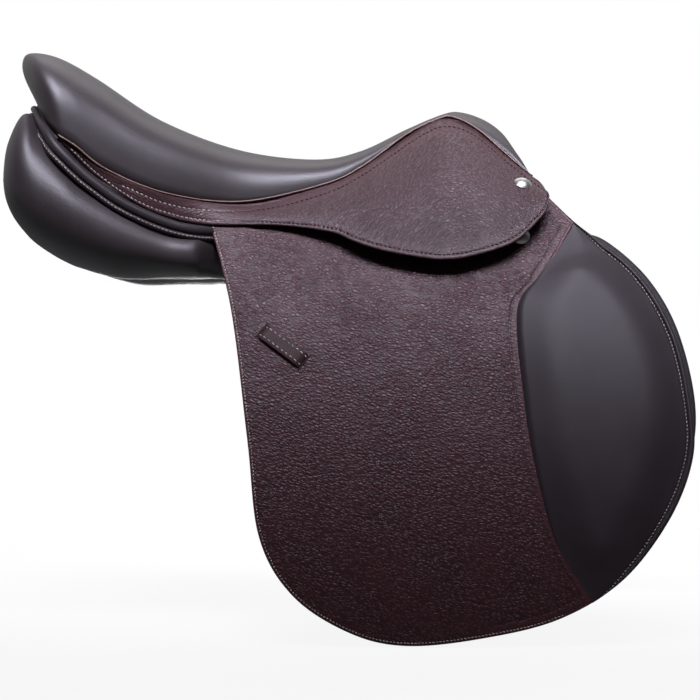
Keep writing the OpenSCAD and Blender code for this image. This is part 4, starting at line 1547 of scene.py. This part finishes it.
@dataclass
class PanelAssembly(Assembly):
    """Flocked panels, the bead round the cantle and its stitched facing.

    Each station holds the middle's x, y and z, the half width, the height over and the depth under the middle,
    and the roll in degrees.
    """

    stations: Points = (
        (-254.8, 88, 88, 3, 3, 3, 0), (-254, 88, 88, 13, 9.5, 8.5, 0), (-252.5, 88.5, 87.5, 23, 20.5, 15.5, 0),
        (-250, 89.5, 86.5, 36, 32.5, 21.5, 0), (-246.5, 90.5, 85, 44, 43, 27.5, 0),
        (-242, 92, 83, 49.5, 54, 32.4, 0),
        (-237, 93.5, 80, 53, 62.5, 35.5, 0), (-230, 95, 75.5, 56, 66, 38.5, 0), (-221, 96.5, 70, 58, 58.5, 40, 0),
        (-209, 97.5, 64, 59, 51, 41.5, 0), (-196, 98, 56.5, 60, 44, 40.5, 0), (-187, 98, 51.5, 60, 40, 38.5, 0),
        (-172, 98, 43.5, 58.5, 38, 35, 0), (-151, 96.5, 34.5, 57, 34, 30, 0), (-119, 91, 24, 56, 28, 19, 0),
        (-103, 88.8, 21.5, 55.8, 25, 16.5, 0), (-91, 87, 21, 54, 24.5, 16, 0), (-84, 82.5, 21.5, 49.5, 25.5, 16, 0),
        (-77, 77.5, 23, 43.5, 26, 17.5, 2), (-72, 74.5, 24.5, 40.5, 26, 19, 4),
        (-60, 71, 28.5, 37.5, 25, 25, 8), (0, 64, 28, 36, 22, 22, 18), (60, 60, 28, 38, 17, 17, 36),
        (110, 66, 20, 46, 13, 13, 50), (145, 76, 2, 50, 12, 12, 57), (166, 86, -10, 42, 9, 9, 60),
        (176, 90, -14, 26, 5, 5, 62))
    bead: Points = (
        (-236.5, 0, 151.5), (-233.5, 58, 150), (-229, 86, 146.4), (-223.4, 109, 136.2), (-214.5, 131, 124.5),
        (-204, 142, 110), (-184, 145, 90), (-167, 145, 76.5), (-151, 144, 65.5), (-131, 141, 55.5), (-111, 137, 48),
        (-96, 133, 44.6), (-86, 127, 43.6), (-77, 118, 43))
    steps: int = 8
    bead_radius: float = 4.25
    facing_wide: float = 4.0
    leather: float = 2.0
    turnover_thick: float = 1.5
    turnover_end: float = -145.0

    @staticmethod
    def section_power(x: float, upper: bool) -> float:
        """How square a panel's section is at x, over or under its middle: 1 is round."""
        squarer = 0.11 + 0.12 * (1 - ease(x, -235, -180)) if upper else 0.2
        return 0.75 + squarer * (1 - ease(x, -140, -70))

    def build_panel(self, side: Side) -> Piece:
        """One flocked cushion.

        Args:
            side: Which side.

        Returns:
            The cushion.
        """

        def soft(c: float, power: float) -> float:
            """Sine or cosine drawn out to a squarer section."""
            return math.copysign(abs(c) ** power, c)

        count, bulge = 48, 1.2
        rows, flats = [], []
        run = 0.0
        stations = smooth(self.stations, self.steps)
        for i, (x, y, z, half, high, deep, roll) in enumerate(stations):
            cos, sin = math.cos(math.radians(roll)), math.sin(math.radians(roll))
            row = []
            for t in round_turns(count):
                upper = t < math.pi
                power = self.section_power(x, upper)
                u, v = half * soft(math.cos(t), power), (high if upper else deep) * soft(math.sin(t), power)
                row.append(Vector((x, side.value * (y + u * cos + v * sin), z - u * sin + v * cos)) * MM)
            if i:
                run += (Vector((x, y, z)) - Vector(stations[i - 1][:3])).length * MM
            rows.append(row)
            flats.append([(run, d) for d in lengths(row)])
        form = Form()
        form.grid(rows, flats)
        for row, flat, way in ((rows[0], flats[0], -1), (rows[-1], flats[-1], 1)):
            hub = sum(row[:-1], Vector()) / count
            rings = []
            for share in (0.0, 0.35, 0.7, 1.0):
                push = Vector((way * bulge * MM * math.sin(0.5 * math.pi * share), 0, 0))
                rings.append([p.lerp(hub, share) + push for p in row])
            form.grid(rings, [flat] * len(rings))
        piece = form.build(f"panel_calf_{side.label}", self.wear("panel_calf"), 2e-5)
        return settle(piece, "smooth_leather", f"panel_{side.label}")

    def bead_side(self, side: Side) -> list[Vector]:
        """Middle of the bead on one side, from the rear centre forwards."""
        return [Vector((x, side.value * y, z)) * MM for x, y, z in smooth(self.bead, self.steps)]

    def bead_line(self) -> list[Vector]:
        """Middle of the whole bead, from the near side round to the off side."""
        return self.bead_side(Side.NEAR)[:0:-1] + self.bead_side(Side.OFF)

    def bead_size(self, p: Vector) -> float:
        """Radius of the bead at a point of its line, in metres."""
        return self.bead_radius * (0.7 + 0.3 * max(0.0, min(1.0, (abs(p.y) / MM - 100) / 32))) * MM

    def build_facing(self, side: Side) -> list[Piece]:
        """Narrow strip under the bead, with its stitches.

        Args:
            side: Which side.

        Returns:
            The strip and its stitches.
        """
        line = [p for p in self.bead_side(side) if abs(p.y) > 5 * MM]
        rows, flats, seam, outs = [], [], [], []
        for i, (p, u) in enumerate(zip(line, lengths(line))):
            ahead = (line[min(i + 1, len(line) - 1)] - line[max(i - 1, 0)]).normalized()
            level = ahead.cross(UP).normalized() * (-side.value)
            rise = (UP - ahead * ahead.z).normalized()
            thick = level * (self.leather * MM)
            top = p - rise * (self.bead_size(p) + 0.1 * MM) + level * (1.5 * MM)
            low = top - rise * (self.facing_wide * MM)
            rows.append([top + thick, low + thick, low, top, top + thick])
            flats.append([(u, k * self.facing_wide * MM) for k in range(5)])
            seam.append(top - rise * (1.6 * MM) + level * (2.1 * MM))
            outs.append(level)
        form = Form()
        form.grid(rows, flats)
        for row in (rows[0], rows[-1]):
            form.grid([row[:2], [row[3], row[2]]], [[(0, 0), (0, 0.004)], [(0.002, 0), (0.002, 0.004)]])
        strip = form.build(f"facing_hide_{side.label}", self.wear("smooth_calf"))
        row = Stitching(3.5, 2.4, 0.8).sew(f"facing_stitches_{side.label}", seam, outs, self.wear("thread"))
        settle(strip, "grained_leather", f"panel_facing_{side.label}")
        return [strip, settle(row, "grained_leather")]

    def build_turnover(self, edge: Sequence[Vector]) -> Piece:
        """Leather turned under from the seat's rear edge to the bead.

        Args:
            edge: The seat's lower edge round the cantle, in metres.

        Returns:
            The strip.
        """
        line = [p for p in self.bead_line() if p.x < self.turnover_end * MM]
        thick, steps = self.turnover_thick * MM, 6
        outer, inner, flats = [], [], []
        for p, run in zip(line, lengths(line)):
            near = min(edge, key=lambda q, p=p: (q - p).length)
            inward = Vector((0.6, -0.8 * math.copysign(1.0, p.y) * min(1.0, abs(p.y) / 0.08), 0.0))
            deep = (8 * ease(p.x / MM, -206, -196) + 8 * ease(p.x / MM, -170, self.turnover_end)) * MM
            top = near + inward * (deep + 2 * MM) + UP * (3 * MM)
            row = []
            for share in (k / steps for k in range(steps + 1)):
                row.append((p + inward * deep).lerp(top, share) + inward * (thick * math.sin(math.pi * share)))
            outer.append(row)
            inner.append([q + inward * thick for q in row])
            flats.append([(run, d) for d in lengths(row)])
        form = Form()
        form.shell(outer, inner, flats)
        return settle(form.build("cantle_turnover", self.wear("smooth_calf")), "smooth_leather")

    def build(self, edge: Sequence[Vector]) -> list[Piece]:
        """Builds both panels, the bead, the turned edge and the facings.

        Args:
            edge: The seat's lower edge round the cantle, in metres.

        Returns:
            The pieces.
        """
        pieces = [self.build_panel(side) for side in Side]
        line = self.bead_line()
        bead = tube("cantle_bead", line, [self.bead_size(p) for p in line], 16, self.wear("smooth_calf"))
        pieces += [settle(bead, "smooth_leather", "cantle_binding"), self.build_turnover(edge)]
        for side in Side:
            pieces += self.build_facing(side)
        return pieces


@dataclass
class FrameParts(Assembly):
    """Pieces of the frame that keep their own shape: tree, webs, steel and studs."""

    nodes: dict[str, Piece]

    def dress(self) -> None:
        """Gives each of these nodes its finish."""
        kinds = (
            (("tree_",), "beech"), (("girth_web",), "web_cloth"), (("gullet_lining",), "lining_calf_place"),
            (("pommel_stud", "yoke_stud"), "nickel"),
            (("head_plate", "spring_steel", "stirrup_bar", "bar_catch", "catch_pin", "bar_rivets"), "satin_steel"))
        for starts, finish in kinds:
            for name, piece in self.nodes.items():
                if name.startswith(starts):
                    piece.data.materials.clear()
                    piece.data.materials.append(self.finishes[finish])


@dataclass(frozen=True)
class Lamp:
    """Soft rectangular lamp."""

    name: str
    at: Colour
    aim: Colour
    size: Pair
    power: float
    spread: float
    tint: Colour = (1.0, 1.0, 1.0)

    def build(self) -> None:
        """Hangs the lamp and aims it."""
        data = bpy.data.lights.new(self.name, "AREA")
        data.shape = "RECTANGLE"
        data.size, data.size_y = self.size
        data.energy = self.power
        data.spread = math.radians(self.spread)
        data.color = self.tint
        lamp = bpy.data.objects.new(self.name, data)
        lamp.location = self.at
        lamp.rotation_euler = (Vector(self.aim) - Vector(self.at)).to_track_quat("-Z", "Y").to_euler()
        bpy.context.scene.collection.objects.link(lamp)


@dataclass
class Studio:
    """Camera, soft light and a pale floor, in metres."""

    camera: Colour = (0.035, -2.2, -0.0545)
    lens: float = 129.5
    floor_z: float = -0.2895
    floor_half: float = 6.0
    lamps: tuple[Lamp, ...] = (
        Lamp("overhead", (-0.02, -0.80, 1.14), (0.0, 0.12, 0.27), (1.4, 0.55), 6.6, 56, (0.96, 0.95, 1.12)),
        Lamp("back_fill", (0.1, 1.0, 1.5), (0.0, 0.0, 0.0), (1.4, 0.8), 4.0, 180),
        Lamp("near_fill", (0.1, 1.7, 0.0), (0.05, 0.0, -0.12), (1.0, 0.5), 3.0, 60))

    def build_camera(self) -> None:
        """Camera at the photograph's angle."""
        data = bpy.data.cameras.new("camera")
        data.lens = self.lens
        data.sensor_width = 36.0
        eye = bpy.data.objects.new("camera", data)
        eye.location = self.camera
        eye.rotation_euler = (math.pi / 2, 0, 0)
        bpy.context.scene.collection.objects.link(eye)
        bpy.context.scene.camera = eye

    @staticmethod
    def seen(s: Shader, mirrored: Value) -> Sock:
        """Share of white on rays that show the background.

        Args:
            s: The shader it is used in.
            mirrored: The share on reflected rays.

        Returns:
            1 to the camera or through glass, and mirrored in reflections.
        """
        kinds = ("Camera", "Glossy", "Transmission")
        camera, glossy, glass = (s.node("ShaderNodeLightPath", {}, {}, f"Is {kind} Ray") for kind in kinds)
        return camera + glass + glossy * mirrored

    def build_floor(self) -> None:
        """Pale floor that reads as white to the camera and keeps the shadow."""
        s = Shader("pale_floor")
        seen = self.seen(s, 0.1)
        away = s.node("ShaderNodeVectorMath", {"operation": "LENGTH"}, {0: s.place(False)}, "Value")
        s.set(Base_Color=s.mix(seen, (0.08, 0.08, 0.08), (0.9, 0.9, 0.9)), Roughness=0.9, Specular_IOR_Level=0.1)
        white = s.node("ShaderNodeEmission", {}, {"Color": (1.0, 1.0, 1.0), "Strength": 1.0})
        share = seen * (0.90 + 0.10 * away.between(0.35, 1.3))
        both = s.node("ShaderNodeMixShader", {}, {0: share, 1: Sock(s, s.surface.outputs[0]), 2: white})
        s.tree.links.new(both.socket, s.tree.nodes["Material Output"].inputs["Surface"])
        ends = (-self.floor_half, self.floor_half)
        form = Form()
        rows = [[Vector((x, y, self.floor_z)) for x in ends] for y in ends]
        form.grid(rows, [[(0, 0), (1, 0)], [(0, 1), (1, 1)]])
        form.build("floor", [s.owner])

    def build_surround(self) -> None:
        """Surround that is white behind the saddle and dim elsewhere."""
        s = Shader("surround", True)
        behind = s.node("ShaderNodeTexCoord", {}, {}, "Generated").axis(1).between(-0.1, 0.6)
        s.set(Color=s.mix(self.seen(s, 0.4 * behind), (0.03, 0.03, 0.032), (1.0, 1.0, 1.0)))
        bpy.context.scene.world = s.owner

    def build(self) -> None:
        """Sets up the whole studio."""
        bpy.context.scene.view_settings.view_transform = "Standard"
        self.build_camera()
        self.build_floor()
        for lamp in self.lamps:
            lamp.build()
        self.build_surround()


def main() -> None:
    """Loads the frame, builds each sub-assembly in order and logs each piece's number of faces."""
    logging.basicConfig(level=logging.INFO, format="%(name)s: %(message)s")
    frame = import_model()
    Studio().build()
    finishes = {finish.name: finish.make() for finish in FINISHES}
    FrameParts(finishes, frame["nodes"]).dress()
    seat = SeatAssembly(finishes)
    pieces = seat.build()
    pieces += PanelAssembly(finishes).build(seat.rear_edge())
    for side in Side:
        pieces += SkirtAssembly(finishes, side).build()
        pieces += FlapAssembly(finishes, side).build()
        pieces += UnderFlapAssembly(finishes, side).build()
    for piece in pieces:
        LOG.info("%s: %d faces", piece.name, len(piece.data.polygons))


if __name__ == "__main__":
    main()
